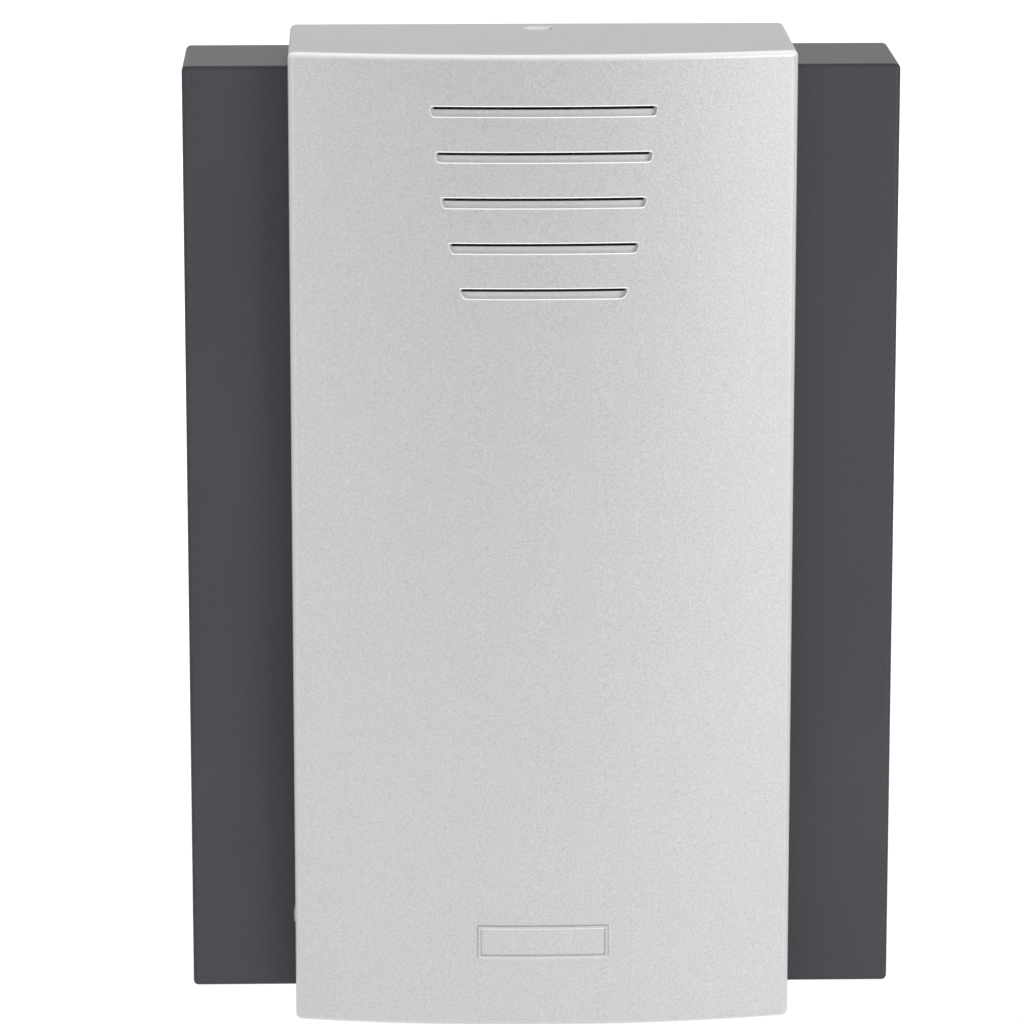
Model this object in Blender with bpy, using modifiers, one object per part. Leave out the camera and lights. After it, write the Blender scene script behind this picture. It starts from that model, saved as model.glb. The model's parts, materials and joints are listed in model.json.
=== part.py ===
"""Two-tone electromechanical door chime, as an assembly of its separate pieces.

Metres, +Z up. The origin is the middle of the rear plane, which lies on the wall:
+X runs to the right as a visitor sees the chime, +Y runs into the wall, and every
piece stands in front of it at negative Y. Driving dimensions come first, then the
modelling tools, then one function for each group of pieces.
"""

import math

import bmesh
import bpy

# ---- driving dimensions -------------------------------------------------------------
GAP = 0.0003  # left between pieces that touch on the real chime

# Silver cover: a shell with a bowed front, open at the back.
COVER_WIDTH = 0.101
COVER_HEIGHT = 0.200
COVER_SIDE_DEPTH = 0.040  # from the wall to the front edge of a side wall
COVER_BOW = 0.0055  # how far the middle of the front stands out past its sides
COVER_WALL = 0.0022
COVER_EDGE_RADIUS = 0.0010
BOW_SEGMENTS = 16

# Sound slots: a groove in the front and one in the back that meet in a thin opening.
SLOT_HEIGHT = 0.0019
SLOT_PITCH = 0.00925
SLOT_TOP_Z = 0.0888
SLOT_LENGTHS = (0.0446, 0.0428, 0.0406, 0.0377, 0.0334)
SLOT_SLANTS = (0.0004, 0.0005, 0.0006, 0.0008, 0.0010)  # how far an end leans inwards
GROOVE_DEPTH = 0.0013
INNER_GROOVE_RISE = 0.0012
INNER_GROOVE_HEIGHT = 0.0023

# Raised blank plate near the bottom of the cover.
PLATE_WIDTH = 0.027
PLATE_HEIGHT = 0.007
PLATE_Z = -0.0824
PLATE_RISE = 0.00035
PLATE_RIM = 0.0008

# Dark housing with its two wings.
HOUSING_WIDTH = 0.1436
HOUSING_HEIGHT = 0.1916
HOUSING_DEPTH = 0.0298
HOUSING_WALL = 0.0022
HOUSING_EDGE_RADIUS = 0.0010
FRONT_OPENING = (0.088, 0.176)  # width and height of the hole behind the cover
LUG_SIZE = (0.012, 0.012)

# Base plate and what is moulded on it.
BASE_THICKNESS = 0.0025
BASE_RIM_HEIGHT = 0.0070
BASE_RIM_WALL = 0.0016
CABLE_WINDOW = ((-0.012, -0.074), (0.012, -0.060))
KEYHOLE_X, KEYHOLE_Z = 0.030, 0.060
KEYHOLE_HEAD_RADIUS, KEYHOLE_SLOT_RADIUS, KEYHOLE_RUN = 0.0042, 0.0022, 0.0080
SLOT_HOLE_X, SLOT_HOLE_Z, SLOT_HOLE_LENGTH = 0.038, -0.066, 0.010

# Screws.
HOUSING_SCREW_Z = 0.082
BOSS_RADIUS = 0.0040
PILOT_RADIUS = 0.0016
SCREW_RADIUS = 0.0013
SCREW_HEAD_RADIUS = 0.0030
SCREW_HEAD_HEIGHT = 0.0018

# Latch tongue at the middle of the top edge.
LATCH_WIDTH = 0.0070
LATCH_NOSE_WIDTH = 0.0051
LATCH_ROOT_Y = -0.0025
LATCH_END_Y = -0.0140
LATCH_LOW_Z, LATCH_HIGH_Z = 0.0939, 0.0953
WINDOW_WIDTH = 0.0057
WINDOW_NEAR_Y, WINDOW_FAR_Y = -0.0046, -0.0092
RELIEF_DEPTH = 0.0012  # how far the wall behind the window is thinned from inside

# Tone plates and what carries them.
TONE_X = 0.060
TONE_THICKNESS = 0.0025
TONE_LENGTH = 0.140
TONE_NEAR_Y, TONE_FAR_Y = -0.0048, -0.0262
TONE_HOLE_RADIUS = 0.0035
PEG_Z = 0.224 * TONE_LENGTH  # from each end: the still points of a free bar
PEG_RADIUS = 0.0015
POST_NEAR_X, POST_FAR_X = 0.0636, 0.0664
GROMMET_RADIUS, GROMMET_BORE, GROMMET_LENGTH = 0.0042, 0.0018, 0.0056

# Solenoid: its axis runs along X.
SOLENOID_Y = -0.016
YOKE_HALF_LENGTH = 0.018
YOKE_HALF_WIDTH = 0.009
STEEL = 0.0015
YOKE_BACK_Y = -0.0060
YOKE_FRONT_Y = -0.0270
YOKE_EAR_Z = 0.0125
BOBBIN_BORE, BOBBIN_TUBE, BOBBIN_FLANGE = 0.0040, 0.0050, 0.0084
WINDING_RADIUS = 0.0076
TAPE_THICKNESS = 0.0004
CORE_RADIUS = 0.0035
CORE_HALF_LENGTH = 0.027
CORE_NECK_RADIUS = 0.0022
CORE_NECK_LENGTH = 0.0050
STRIKER_TIP_X = 0.05475
COLLAR_X = 0.0300
SPRING_RADIUS, SPRING_WIRE, SPRING_TURNS = 0.0046, 0.00035, 5

# Terminal block.
BLOCK_LOW = (-0.014, -0.015, -0.054)
BLOCK_HIGH = (0.014, -BASE_THICKNESS - GAP, -0.042)
TERMINAL_X = 0.0065
CLAMP_LOW_Y, CLAMP_HIGH_Y = -0.0105, -0.0055
CLAMP_LOW_Z, CLAMP_HIGH_Z = -0.052, -0.044
WIRE_Y = -0.0077
WIRE_RADIUS = 0.00045


# ---- scene and collections ----------------------------------------------------------
for old in list(bpy.data.objects):
    bpy.data.objects.remove(old)

PARTS = bpy.data.collections.new("door_chime")
CUTTERS = bpy.data.collections.new("cutters")
bpy.context.scene.collection.children.link(PARTS)
bpy.context.scene.collection.children.link(CUTTERS)


def make_material(name, colour, roughness, metallic=0.0):
    """A Principled material with one colour."""
    material = bpy.data.materials.new(name)
    material.use_nodes = True
    shader = material.node_tree.nodes["Principled BSDF"]
    shader.inputs["Base Color"].default_value = (*colour, 1.0)
    shader.inputs["Roughness"].default_value = roughness
    shader.inputs["Metallic"].default_value = metallic
    return material


SILVER_PAINT = make_material("silver_paint", (0.60, 0.61, 0.62), 0.45, 0.35)
DARK_ABS = make_material("dark_abs", (0.085, 0.086, 0.092), 0.55)
WHITE_ABS = make_material("white_abs", (0.80, 0.79, 0.75), 0.50)
YOKE_STEEL = make_material("zinc_steel", (0.58, 0.58, 0.56), 0.38, 1.0)
TONE_STEEL = make_material("tone_steel", (0.62, 0.63, 0.65), 0.25, 1.0)
SPRING_STEEL = make_material("spring_steel", (0.50, 0.50, 0.50), 0.30, 1.0)
COPPER = make_material("enamelled_copper", (0.62, 0.24, 0.10), 0.35, 1.0)
TAPE = make_material("coil_tape", (0.75, 0.60, 0.20), 0.40)
NYLON = make_material("natural_nylon", (0.78, 0.76, 0.68), 0.45)
BLACK_RUBBER = make_material("black_rubber", (0.03, 0.03, 0.03), 0.80)
BRASS = make_material("brass", (0.72, 0.55, 0.25), 0.35, 1.0)
RED_WIRE = make_material("lead_insulation", (0.45, 0.05, 0.04), 0.50)


# ---- modelling tools ----------------------------------------------------------------
def keep(thing, material):
    """Puts a finished piece in the chime's collection and gives it its material."""
    for collection in list(thing.users_collection):
        collection.objects.unlink(thing)
    PARTS.objects.link(thing)
    thing.data.materials.clear()
    thing.data.materials.append(material)
    return thing


def as_cutter(thing):
    """Puts a helper shape among the cutters, out of the finished chime."""
    for collection in list(thing.users_collection):
        collection.objects.unlink(thing)
    CUTTERS.objects.link(thing)
    thing.hide_render = True
    thing.display_type = "WIRE"
    return thing


def block(name, low, high):
    """A box between two corners, with its origin at its middle."""
    middle = [(a + b) / 2 for a, b in zip(low, high)]
    bpy.ops.mesh.primitive_cube_add(size=1, location=middle)
    thing = bpy.context.object
    thing.name = name
    thing.scale = [b - a for a, b in zip(low, high)]
    bpy.ops.object.transform_apply(location=False, rotation=False, scale=True)
    return thing


def rod(name, radius, start, end, axis, sides=24):
    """A cylinder along X, Y or Z: start and end are its two end points."""
    middle = [(a + b) / 2 for a, b in zip(start, end)]
    length = math.dist(start, end)
    turn = {"X": (0, math.pi / 2, 0), "Y": (math.pi / 2, 0, 0), "Z": (0, 0, 0)}[axis]
    bpy.ops.mesh.primitive_cylinder_add(
        vertices=sides, radius=radius, depth=length, location=middle, rotation=turn
    )
    thing = bpy.context.object
    thing.name = name
    bpy.ops.object.transform_apply(location=False, rotation=True, scale=False)
    return thing


PLANE_TURNS = {
    "XY": (0, 0, 0),
    "XZ": (math.pi / 2, 0, 0),
    "YZ": (math.pi / 2, 0, math.pi / 2),
}


def prism(name, outline, low, high, plane):
    """A closed outline in one plane, extruded along the third axis from low to high."""
    curve = bpy.data.curves.new(name, "CURVE")
    curve.dimensions = "2D"
    curve.fill_mode = "BOTH"
    curve.extrude = (high - low) / 2
    spline = curve.splines.new("POLY")
    spline.points.add(len(outline) - 1)
    for point, (across, up) in zip(spline.points, outline):
        point.co = (across, up, 0, 1)
    spline.use_cyclic_u = True
    guide = bpy.data.objects.new(name + "_outline", curve)
    bpy.context.scene.collection.objects.link(guide)
    middle = (low + high) / 2
    guide.location = {
        "XY": (0, 0, middle),
        "XZ": (0, middle, 0),
        "YZ": (middle, 0, 0),
    }[plane]
    guide.rotation_euler = PLANE_TURNS[plane]
    return mesh_of(guide, name)


def mesh_of(guide, name):
    """Turns a curve object into a welded mesh object and removes the curve."""
    bpy.context.view_layer.update()
    evaluated = guide.evaluated_get(bpy.context.evaluated_depsgraph_get())
    mesh = bpy.data.meshes.new_from_object(evaluated)
    mesh.transform(guide.matrix_world)
    shell = bmesh.new()
    shell.from_mesh(mesh)
    bmesh.ops.remove_doubles(shell, verts=shell.verts, dist=1e-6)
    bmesh.ops.dissolve_limit(
        shell, angle_limit=math.radians(0.2), verts=shell.verts, edges=shell.edges
    )
    shell.to_mesh(mesh)
    shell.free()
    mesh.name = name
    thing = bpy.data.objects.new(name, mesh)
    bpy.context.scene.collection.objects.link(thing)
    bpy.data.objects.remove(guide)
    return thing


def turned(name, profile, origin, axis, steps=24, closed=False):
    """A profile of (radius, height) pairs, top to bottom, spun round its axis.

    axis is where the profile's height points: "+X", "-X" or "-Y".
    """
    mesh = bpy.data.meshes.new(name)
    edges = [(i, i + 1) for i in range(len(profile) - 1)]
    if closed:
        edges.append((len(profile) - 1, 0))
    mesh.from_pydata([(radius, 0, height) for radius, height in profile], edges, [])
    thing = bpy.data.objects.new(name, mesh)
    bpy.context.scene.collection.objects.link(thing)
    thing.location = origin
    thing.rotation_euler = {
        "+X": (0, math.pi / 2, 0),
        "-X": (0, -math.pi / 2, 0),
        "-Y": (math.pi / 2, 0, 0),
    }[axis]
    screw = thing.modifiers.new("turn", "SCREW")
    screw.steps = steps
    screw.render_steps = steps
    screw.use_merge_vertices = True
    screw.merge_threshold = 1e-5
    return thing


def wire(name, points, radius):
    """A round wire along a row of points, as a POLY curve with filled ends."""
    curve = bpy.data.curves.new(name, "CURVE")
    curve.dimensions = "3D"
    curve.bevel_depth = radius
    curve.bevel_resolution = 2
    curve.use_fill_caps = True
    spline = curve.splines.new("POLY")
    spline.points.add(len(points) - 1)
    for point, place in zip(spline.points, points):
        point.co = (*place, 1)
    thing = bpy.data.objects.new(name, curve)
    bpy.context.scene.collection.objects.link(thing)
    return thing


def boolean(target, helper, operation):
    """Cuts, joins or intersects a piece with a helper shape."""
    step = target.modifiers.new(helper.name, "BOOLEAN")
    step.operation = operation
    step.solver = "EXACT"
    step.object = as_cutter(helper)
    return target


def cut(target, *helpers):
    for helper in helpers:
        boolean(target, helper, "DIFFERENCE")
    return target


def join(target, *helpers):
    for helper in helpers:
        boolean(target, helper, "UNION")
    return target


def round_front_edges(thing, width, front_of):
    """Bevels the sharp edges that lie wholly in front of the plane y = front_of."""
    shell = bmesh.new()
    shell.from_mesh(thing.data)
    weight = shell.edges.layers.float.new("bevel_weight_edge")
    sharp = math.radians(30)
    for edge in shell.edges:
        in_front = all(vertex.co.y + thing.location.y < front_of for vertex in edge.verts)
        if in_front and edge.calc_face_angle(0) > sharp:
            edge[weight] = 1.0
    shell.to_mesh(thing.data)
    shell.free()
    bevel = thing.modifiers.new("edge_radius", "BEVEL")
    bevel.limit_method = "WEIGHT"
    bevel.width = width
    bevel.segments = 2


def round_all_edges(thing, width, segments=1):
    """A small bevel on every sharp edge of a piece."""
    bevel = thing.modifiers.new("edge_radius", "BEVEL")
    bevel.limit_method = "ANGLE"
    bevel.angle_limit = math.radians(40)
    bevel.width = width
    bevel.segments = segments


def move_origin(thing, place):
    """Moves an object's origin to a point without moving its shape."""
    shift = [a - b for a, b in zip(thing.location, place)]
    for vertex in thing.data.vertices:
        vertex.co = [c + s for c, s in zip(vertex.co, shift)]
    thing.location = place


# ---- silver cover -------------------------------------------------------------------
HALF_WIDTH = COVER_WIDTH / 2
BOW_RADIUS = (HALF_WIDTH**2 + COVER_BOW**2) / (2 * COVER_BOW)
BOW_CENTRE_Y = BOW_RADIUS - COVER_SIDE_DEPTH - COVER_BOW


def bow_outline(inset, back):
    """Plan of the bowed shell, moved in from its outer face by inset."""
    radius = BOW_RADIUS - inset
    half_width = HALF_WIDTH - inset
    half_angle = math.asin(half_width / radius)
    points = [(-half_width, back)]
    for step in range(BOW_SEGMENTS + 1):
        angle = half_angle * (2 * step / BOW_SEGMENTS - 1)
        points.append(
            (radius * math.sin(angle), BOW_CENTRE_Y - radius * math.cos(angle))
        )
    points.append((half_width, back))
    return points


def slot_outline(length, slant, low, height):
    """A flat slot with slanted ends whose lower edge is the shorter one."""
    half = length / 2
    return [
        (-half, low + height),
        (-half + slant, low),
        (half - slant, low),
        (half, low + height),
    ]


def groove(name, outline, inset, outward):
    """A groove whose floor follows the bow: open to the front, or to the inside."""
    cutter = prism(name, outline, -0.060, -0.030, "XZ")
    core = prism(name + "_core", bow_outline(inset, -0.020), -0.110, 0.110, "XY")
    return boolean(cutter, core, "DIFFERENCE" if outward else "INTERSECT")


def make_cover():
    half_height = COVER_HEIGHT / 2
    cover = prism("front_cover", bow_outline(0, 0), -half_height, half_height, "XY")
    round_front_edges(cover, COVER_EDGE_RADIUS, -0.001)
    inner = half_height - COVER_WALL
    cut(cover, prism("cover_hollow", bow_outline(COVER_WALL, 0.010), -inner, inner, "XY"))

    # Below the ends of the side walls the shell straddles the housing.
    clear = HOUSING_HEIGHT / 2 + GAP
    cut(
        cover,
        block(
            "side_notch",
            (-HALF_WIDTH - 0.002, -HOUSING_DEPTH - GAP, -clear),
            (HALF_WIDTH + 0.002, 0.002, clear),
        ),
    )

    # Latch window in the top wall, and the thinned wall that the tongue passes under.
    half_window = WINDOW_WIDTH / 2
    cut(
        cover,
        block(
            "latch_window",
            (-half_window, WINDOW_FAR_Y, inner - 0.001),
            (half_window, WINDOW_NEAR_Y, half_height + 0.001),
        ),
        block(
            "latch_relief",
            (-half_window - 0.0008, WINDOW_FAR_Y + 0.001, inner - 0.001),
            (half_window + 0.0008, 0.002, inner + RELIEF_DEPTH),
        ),
    )

    for number, (length, slant) in enumerate(zip(SLOT_LENGTHS, SLOT_SLANTS)):
        low = SLOT_TOP_Z - number * SLOT_PITCH - SLOT_HEIGHT / 2
        front = slot_outline(length, slant, low, SLOT_HEIGHT)
        behind = slot_outline(length, slant, low + INNER_GROOVE_RISE, INNER_GROOVE_HEIGHT)
        cut(
            cover,
            groove(f"slot_{number + 1}_front", front, GROOVE_DEPTH, True),
            groove(f"slot_{number + 1}_back", behind, COVER_WALL - GROOVE_DEPTH, False),
        )

    # A raised rim round a blank plate: a pad that follows the bow, sunk in its middle.
    rim = plate_block("plate_rim", PLATE_WIDTH, PLATE_HEIGHT, -PLATE_RISE)
    field = plate_block(
        "plate_field", PLATE_WIDTH - 2 * PLATE_RIM, PLATE_HEIGHT - 2 * PLATE_RIM, -0.002
    )
    skin = prism("plate_skin", bow_outline(-PLATE_RISE / 3, -0.020), -0.110, 0.110, "XY")
    boolean(field, skin, "DIFFERENCE")
    cut(rim, field)
    join(cover, rim)
    keep(cover, SILVER_PAINT)


def plate_block(name, width, height, inset):
    """A rectangle on the front whose own front follows the bow, inset from it."""
    outline = [
        (-width / 2, PLATE_Z - height / 2),
        (width / 2, PLATE_Z - height / 2),
        (width / 2, PLATE_Z + height / 2),
        (-width / 2, PLATE_Z + height / 2),
    ]
    pad = prism(name, outline, -0.060, -COVER_SIDE_DEPTH - COVER_BOW + 0.0015, "XZ")
    shape = prism(name + "_bow", bow_outline(inset, -0.020), -0.110, 0.110, "XY")
    return boolean(pad, shape, "INTERSECT")


# ---- dark housing -------------------------------------------------------------------
def make_housing():
    half_width, half_height = HOUSING_WIDTH / 2, HOUSING_HEIGHT / 2
    housing = block(
        "housing", (-half_width, -HOUSING_DEPTH, -half_height), (half_width, 0, half_height)
    )
    round_front_edges(housing, HOUSING_EDGE_RADIUS, 0.001)
    inner_x, inner_z = half_width - HOUSING_WALL, half_height - HOUSING_WALL
    front_back_y = -HOUSING_DEPTH + HOUSING_WALL
    cut(
        housing,
        block("housing_hollow", (-inner_x, front_back_y, -inner_z), (inner_x, 0.010, inner_z)),
    )

    # Opening behind the cover, with a screw lug left at the middle of its two short ends.
    open_x, open_z = FRONT_OPENING[0] / 2, FRONT_OPENING[1] / 2
    lug_x, lug_z = LUG_SIZE[0] / 2, open_z - LUG_SIZE[1]
    outline = [(-open_x, -open_z), (-lug_x, -open_z), (-lug_x, -lug_z), (lug_x, -lug_z)]
    outline += [(lug_x, -open_z), (open_x, -open_z)]
    outline += [(-x, -z) for x, z in outline]
    cut(
        housing,
        prism("front_opening", outline, -HOUSING_DEPTH - 0.002, front_back_y + 0.002, "XZ"),
    )
    for side, name in ((1, "upper"), (-1, "lower")):
        z = side * HOUSING_SCREW_Z
        ends = ((0, -HOUSING_DEPTH - 0.002, z), (0, front_back_y + 0.002, z))
        cut(housing, rod(f"lug_hole_{name}", SCREW_RADIUS + GAP, *ends, "Y", 16))

    # Ribs that locate the cover's side walls from inside.
    rib_out = HALF_WIDTH - COVER_WALL - GAP
    for side, name in ((-1, "left"), (1, "right")):
        low_x, high_x = sorted((side * rib_out, side * (rib_out - 0.0018)))
        join(
            housing,
            block(
                f"cover_rib_{name}",
                (low_x, -HOUSING_DEPTH - 0.0040, -0.080),
                (high_x, -HOUSING_DEPTH + 0.0010, 0.080),
            ),
        )

    # Notch in the top wall for the latch tongue.
    cut(
        housing,
        block(
            "latch_notch",
            (-LATCH_WIDTH / 2 - 0.0015, LATCH_END_Y - 0.0015, inner_z - 0.001),
            (LATCH_WIDTH / 2 + 0.0015, 0.002, half_height + 0.001),
        ),
    )
    keep(housing, DARK_ABS)


# ---- base plate ---------------------------------------------------------------------
def make_base_plate():
    half_x = HOUSING_WIDTH / 2 - HOUSING_WALL - GAP
    half_z = HOUSING_HEIGHT / 2 - HOUSING_WALL - GAP
    base = block("base_plate", (-half_x, -BASE_RIM_HEIGHT, -half_z), (half_x, 0, half_z))
    pocket_x, pocket_z = half_x - BASE_RIM_WALL, half_z - BASE_RIM_WALL
    cut(
        base,
        block(
            "base_pocket",
            (-pocket_x, -BASE_RIM_HEIGHT - 0.002, -pocket_z),
            (pocket_x, -BASE_THICKNESS, pocket_z),
        ),
    )
    floor = -BASE_THICKNESS + 0.0005

    # Tab that carries the latch tongue, in the notch of the housing's top wall.
    latch_half = LATCH_WIDTH / 2
    join(
        base,
        block(
            "latch_tab",
            (-latch_half, LATCH_ROOT_Y + GAP, pocket_z - 0.001),
            (latch_half, 0, LATCH_HIGH_Z),
        ),
    )
    cut(
        base,
        block(
            "rim_gap",
            (-latch_half - 0.0015, -BASE_RIM_HEIGHT - 0.002, pocket_z - 0.001),
            (latch_half + 0.0015, LATCH_ROOT_Y, half_z + 0.0002),
        ),
    )

    # Bosses for the housing screws, pads for the solenoid and the terminal block.
    boss_end = -HOUSING_DEPTH + HOUSING_WALL + GAP
    for side, name in ((1, "upper"), (-1, "lower")):
        z = side * HOUSING_SCREW_Z
        join(base, rod(f"boss_{name}", BOSS_RADIUS, (0, boss_end, z), (0, floor, z), "Y"))
        cut(
            base,
            rod(f"pilot_{name}", PILOT_RADIUS, (0, boss_end - 0.002, z), (0, -0.012, z), "Y", 16),
        )
    join(
        base,
        block("solenoid_pad", (-0.020, YOKE_BACK_Y + GAP, -0.0175), (0.020, floor, 0.0175)),
    )
    for side, name in ((1, "upper"), (-1, "lower")):
        z = side * YOKE_EAR_Z
        cut(
            base,
            rod(f"ear_pilot_{name}", PILOT_RADIUS, (0, -0.008, z), (0, -0.0012, z), "Y", 16),
        )
    block_z = (BLOCK_LOW[2] + BLOCK_HIGH[2]) / 2
    cut(base, rod("block_pilot", PILOT_RADIUS, (0, -0.004, block_z), (0, 0.002, block_z), "Y", 16))

    # Posts and pegs that carry the tone plates.
    for side_x, side in ((-1, "left"), (1, "right")):
        for side_z, level in ((1, "upper"), (-1, "lower")):
            place = f"{side}_{level}"
            z = side_z * (TONE_LENGTH / 2 - PEG_Z)
            low_x, high_x = sorted((side_x * POST_NEAR_X, side_x * POST_FAR_X))
            join(
                base,
                block(f"post_{place}", (low_x, -0.0205, z - 0.004), (high_x, floor, z + 0.004)),
                rod(
                    f"peg_{place}",
                    PEG_RADIUS,
                    (side_x * (POST_NEAR_X + 0.001), -0.0155, z),
                    (side_x * 0.0558, -0.0155, z),
                    "X",
                    16,
                ),
            )

    cut(
        base,
        block(
            "cable_window",
            (CABLE_WINDOW[0][0], -0.010, CABLE_WINDOW[0][1]),
            (CABLE_WINDOW[1][0], 0.002, CABLE_WINDOW[1][1]),
        ),
    )
    for side, name in ((-1, "left"), (1, "right")):
        cut(
            base,
            prism(f"keyhole_{name}", keyhole_outline(side * KEYHOLE_X), -0.008, 0.002, "XZ"),
            prism(f"slot_hole_{name}", slot_hole_outline(side * SLOT_HOLE_X), -0.008, 0.002, "XZ"),
        )
    keep(base, WHITE_ABS)


def arc(centre_x, centre_z, radius, first, last, steps):
    """Points on a circle between two angles in degrees."""
    angles = [math.radians(first + (last - first) * i / steps) for i in range(steps + 1)]
    return [(centre_x + radius * math.cos(a), centre_z + radius * math.sin(a)) for a in angles]


def keyhole_outline(x):
    """A round head hole with a narrower slot above it."""
    lean = math.degrees(math.asin(KEYHOLE_SLOT_RADIUS / KEYHOLE_HEAD_RADIUS))
    head = arc(x, KEYHOLE_Z, KEYHOLE_HEAD_RADIUS, 90 + lean, 450 - lean, 18)
    neck = arc(x, KEYHOLE_Z + KEYHOLE_RUN, KEYHOLE_SLOT_RADIUS, 0, 180, 8)
    return head + neck


def slot_hole_outline(x):
    """A level slot with round ends."""
    run = SLOT_HOLE_LENGTH / 2 - KEYHOLE_SLOT_RADIUS
    right = arc(x + run, SLOT_HOLE_Z, KEYHOLE_SLOT_RADIUS, -90, 90, 8)
    left = arc(x - run, SLOT_HOLE_Z, KEYHOLE_SLOT_RADIUS, 90, 270, 8)
    return right + left


# ---- latch tongue -------------------------------------------------------------------
def make_latch():
    nose_top = COVER_HEIGHT / 2 - COVER_WALL + RELIEF_DEPTH - GAP
    near, far = WINDOW_NEAR_Y - 0.0004, WINDOW_FAR_Y + 0.0004
    half = LATCH_WIDTH / 2
    latch = block(
        "latch_tongue", (-half, LATCH_END_Y, LATCH_LOW_Z), (half, LATCH_ROOT_Y, LATCH_HIGH_Z)
    )
    move_origin(latch, (0, LATCH_ROOT_Y, (LATCH_LOW_Z + LATCH_HIGH_Z) / 2))
    half_nose = LATCH_NOSE_WIDTH / 2
    nose = [(near, LATCH_HIGH_Z - 0.0005), (near, nose_top)]
    nose += [(far + 0.0012, nose_top), (far, nose_top - 0.0015), (far, LATCH_HIGH_Z - 0.0005)]
    join(latch, prism("latch_nose", nose, -half_nose, half_nose, "YZ"))
    keep(latch, WHITE_ABS)


# ---- tone plates and grommets -------------------------------------------------------
def make_tone_plate(side_x, side):
    x = side_x * TONE_X
    half = TONE_THICKNESS / 2
    plate = block(
        f"tone_plate_{side}",
        (x - half, TONE_FAR_Y, -TONE_LENGTH / 2),
        (x + half, TONE_NEAR_Y, TONE_LENGTH / 2),
    )
    for side_z, level in ((1, "upper"), (-1, "lower")):
        z = side_z * (TONE_LENGTH / 2 - PEG_Z)
        ends = ((x - 0.004, -0.0155, z), (x + 0.004, -0.0155, z))
        cut(plate, rod(f"tone_hole_{side}_{level}", TONE_HOLE_RADIUS, *ends, "X", 20))
        make_grommet(f"grommet_{side}_{level}", x, z)
    keep(plate, TONE_STEEL)


def make_grommet(name, x, z):
    """A rubber ring with a waist that sits in the plate's hole."""
    waist = TONE_THICKNESS / 2 + GAP
    waist_radius = TONE_HOLE_RADIUS - GAP
    top = GROMMET_LENGTH / 2
    profile = [
        (GROMMET_RADIUS, top),
        (GROMMET_RADIUS, waist),
        (waist_radius, waist),
        (waist_radius, -waist),
        (GROMMET_RADIUS, -waist),
        (GROMMET_RADIUS, -top),
        (GROMMET_BORE, -top),
        (GROMMET_BORE, top),
    ]
    keep(turned(name, profile, (x, -0.0155, z), "+X", 16, closed=True), BLACK_RUBBER)


# ---- solenoid -----------------------------------------------------------------------
def ring(name, inner, outer, half_length, material, steps=24):
    profile = [
        (outer, half_length),
        (outer, -half_length),
        (inner, -half_length),
        (inner, half_length),
    ]
    return keep(turned(name, profile, (0, SOLENOID_Y, 0), "+X", steps, closed=True), material)


def make_solenoid():
    end_in = YOKE_HALF_LENGTH - STEEL
    outline = [
        (-YOKE_HALF_LENGTH, YOKE_BACK_Y),
        (-YOKE_HALF_LENGTH, YOKE_FRONT_Y),
        (-end_in, YOKE_FRONT_Y),
        (-end_in, YOKE_BACK_Y - STEEL),
    ]
    outline += [(-x, y) for x, y in reversed(outline)]
    yoke = prism("solenoid_yoke", outline, -YOKE_HALF_WIDTH, YOKE_HALF_WIDTH, "XY")
    ear_end = YOKE_EAR_Z + 0.004
    join(
        yoke,
        block(
            "yoke_ears",
            (-0.005, YOKE_BACK_Y - STEEL, -ear_end),
            (0.005, YOKE_BACK_Y, ear_end),
        ),
    )
    ends = ((-0.025, SOLENOID_Y, 0), (0.025, SOLENOID_Y, 0))
    cut(yoke, rod("yoke_bore", BOBBIN_TUBE + GAP, *ends, "X"))
    for side, name in ((1, "upper"), (-1, "lower")):
        z = side * YOKE_EAR_Z
        ends = ((0, -0.010, z), (0, -0.004, z))
        cut(yoke, rod(f"ear_hole_{name}", PILOT_RADIUS, *ends, "Y", 16))
    keep(yoke, YOKE_STEEL)

    strap = block(
        "yoke_strap",
        (-YOKE_HALF_LENGTH, YOKE_FRONT_Y - GAP - STEEL, -YOKE_HALF_WIDTH),
        (YOKE_HALF_LENGTH, YOKE_FRONT_Y - GAP, YOKE_HALF_WIDTH),
    )
    round_all_edges(strap, 0.0003)
    keep(strap, YOKE_STEEL)

    flange_out, flange_in = end_in - GAP, end_in - GAP - 0.0015
    spool = [
        (BOBBIN_TUBE, YOKE_HALF_LENGTH),
        (BOBBIN_TUBE, flange_out),
        (BOBBIN_FLANGE, flange_out),
        (BOBBIN_FLANGE, flange_in),
        (BOBBIN_TUBE, flange_in),
    ]
    spool += [(radius, -height) for radius, height in reversed(spool)]
    spool += [(BOBBIN_BORE, -YOKE_HALF_LENGTH), (BOBBIN_BORE, YOKE_HALF_LENGTH)]
    bobbin = turned("coil_bobbin", spool, (0, SOLENOID_Y, 0), "+X", closed=True)
    keep(bobbin, NYLON)

    wound = flange_in - GAP
    tape_in = WINDING_RADIUS + GAP
    ring("coil_winding", BOBBIN_TUBE + GAP, WINDING_RADIUS, wound, COPPER)
    ring("coil_tape", tape_in, tape_in + TAPE_THICKNESS, wound - 0.0005, TAPE)


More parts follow.
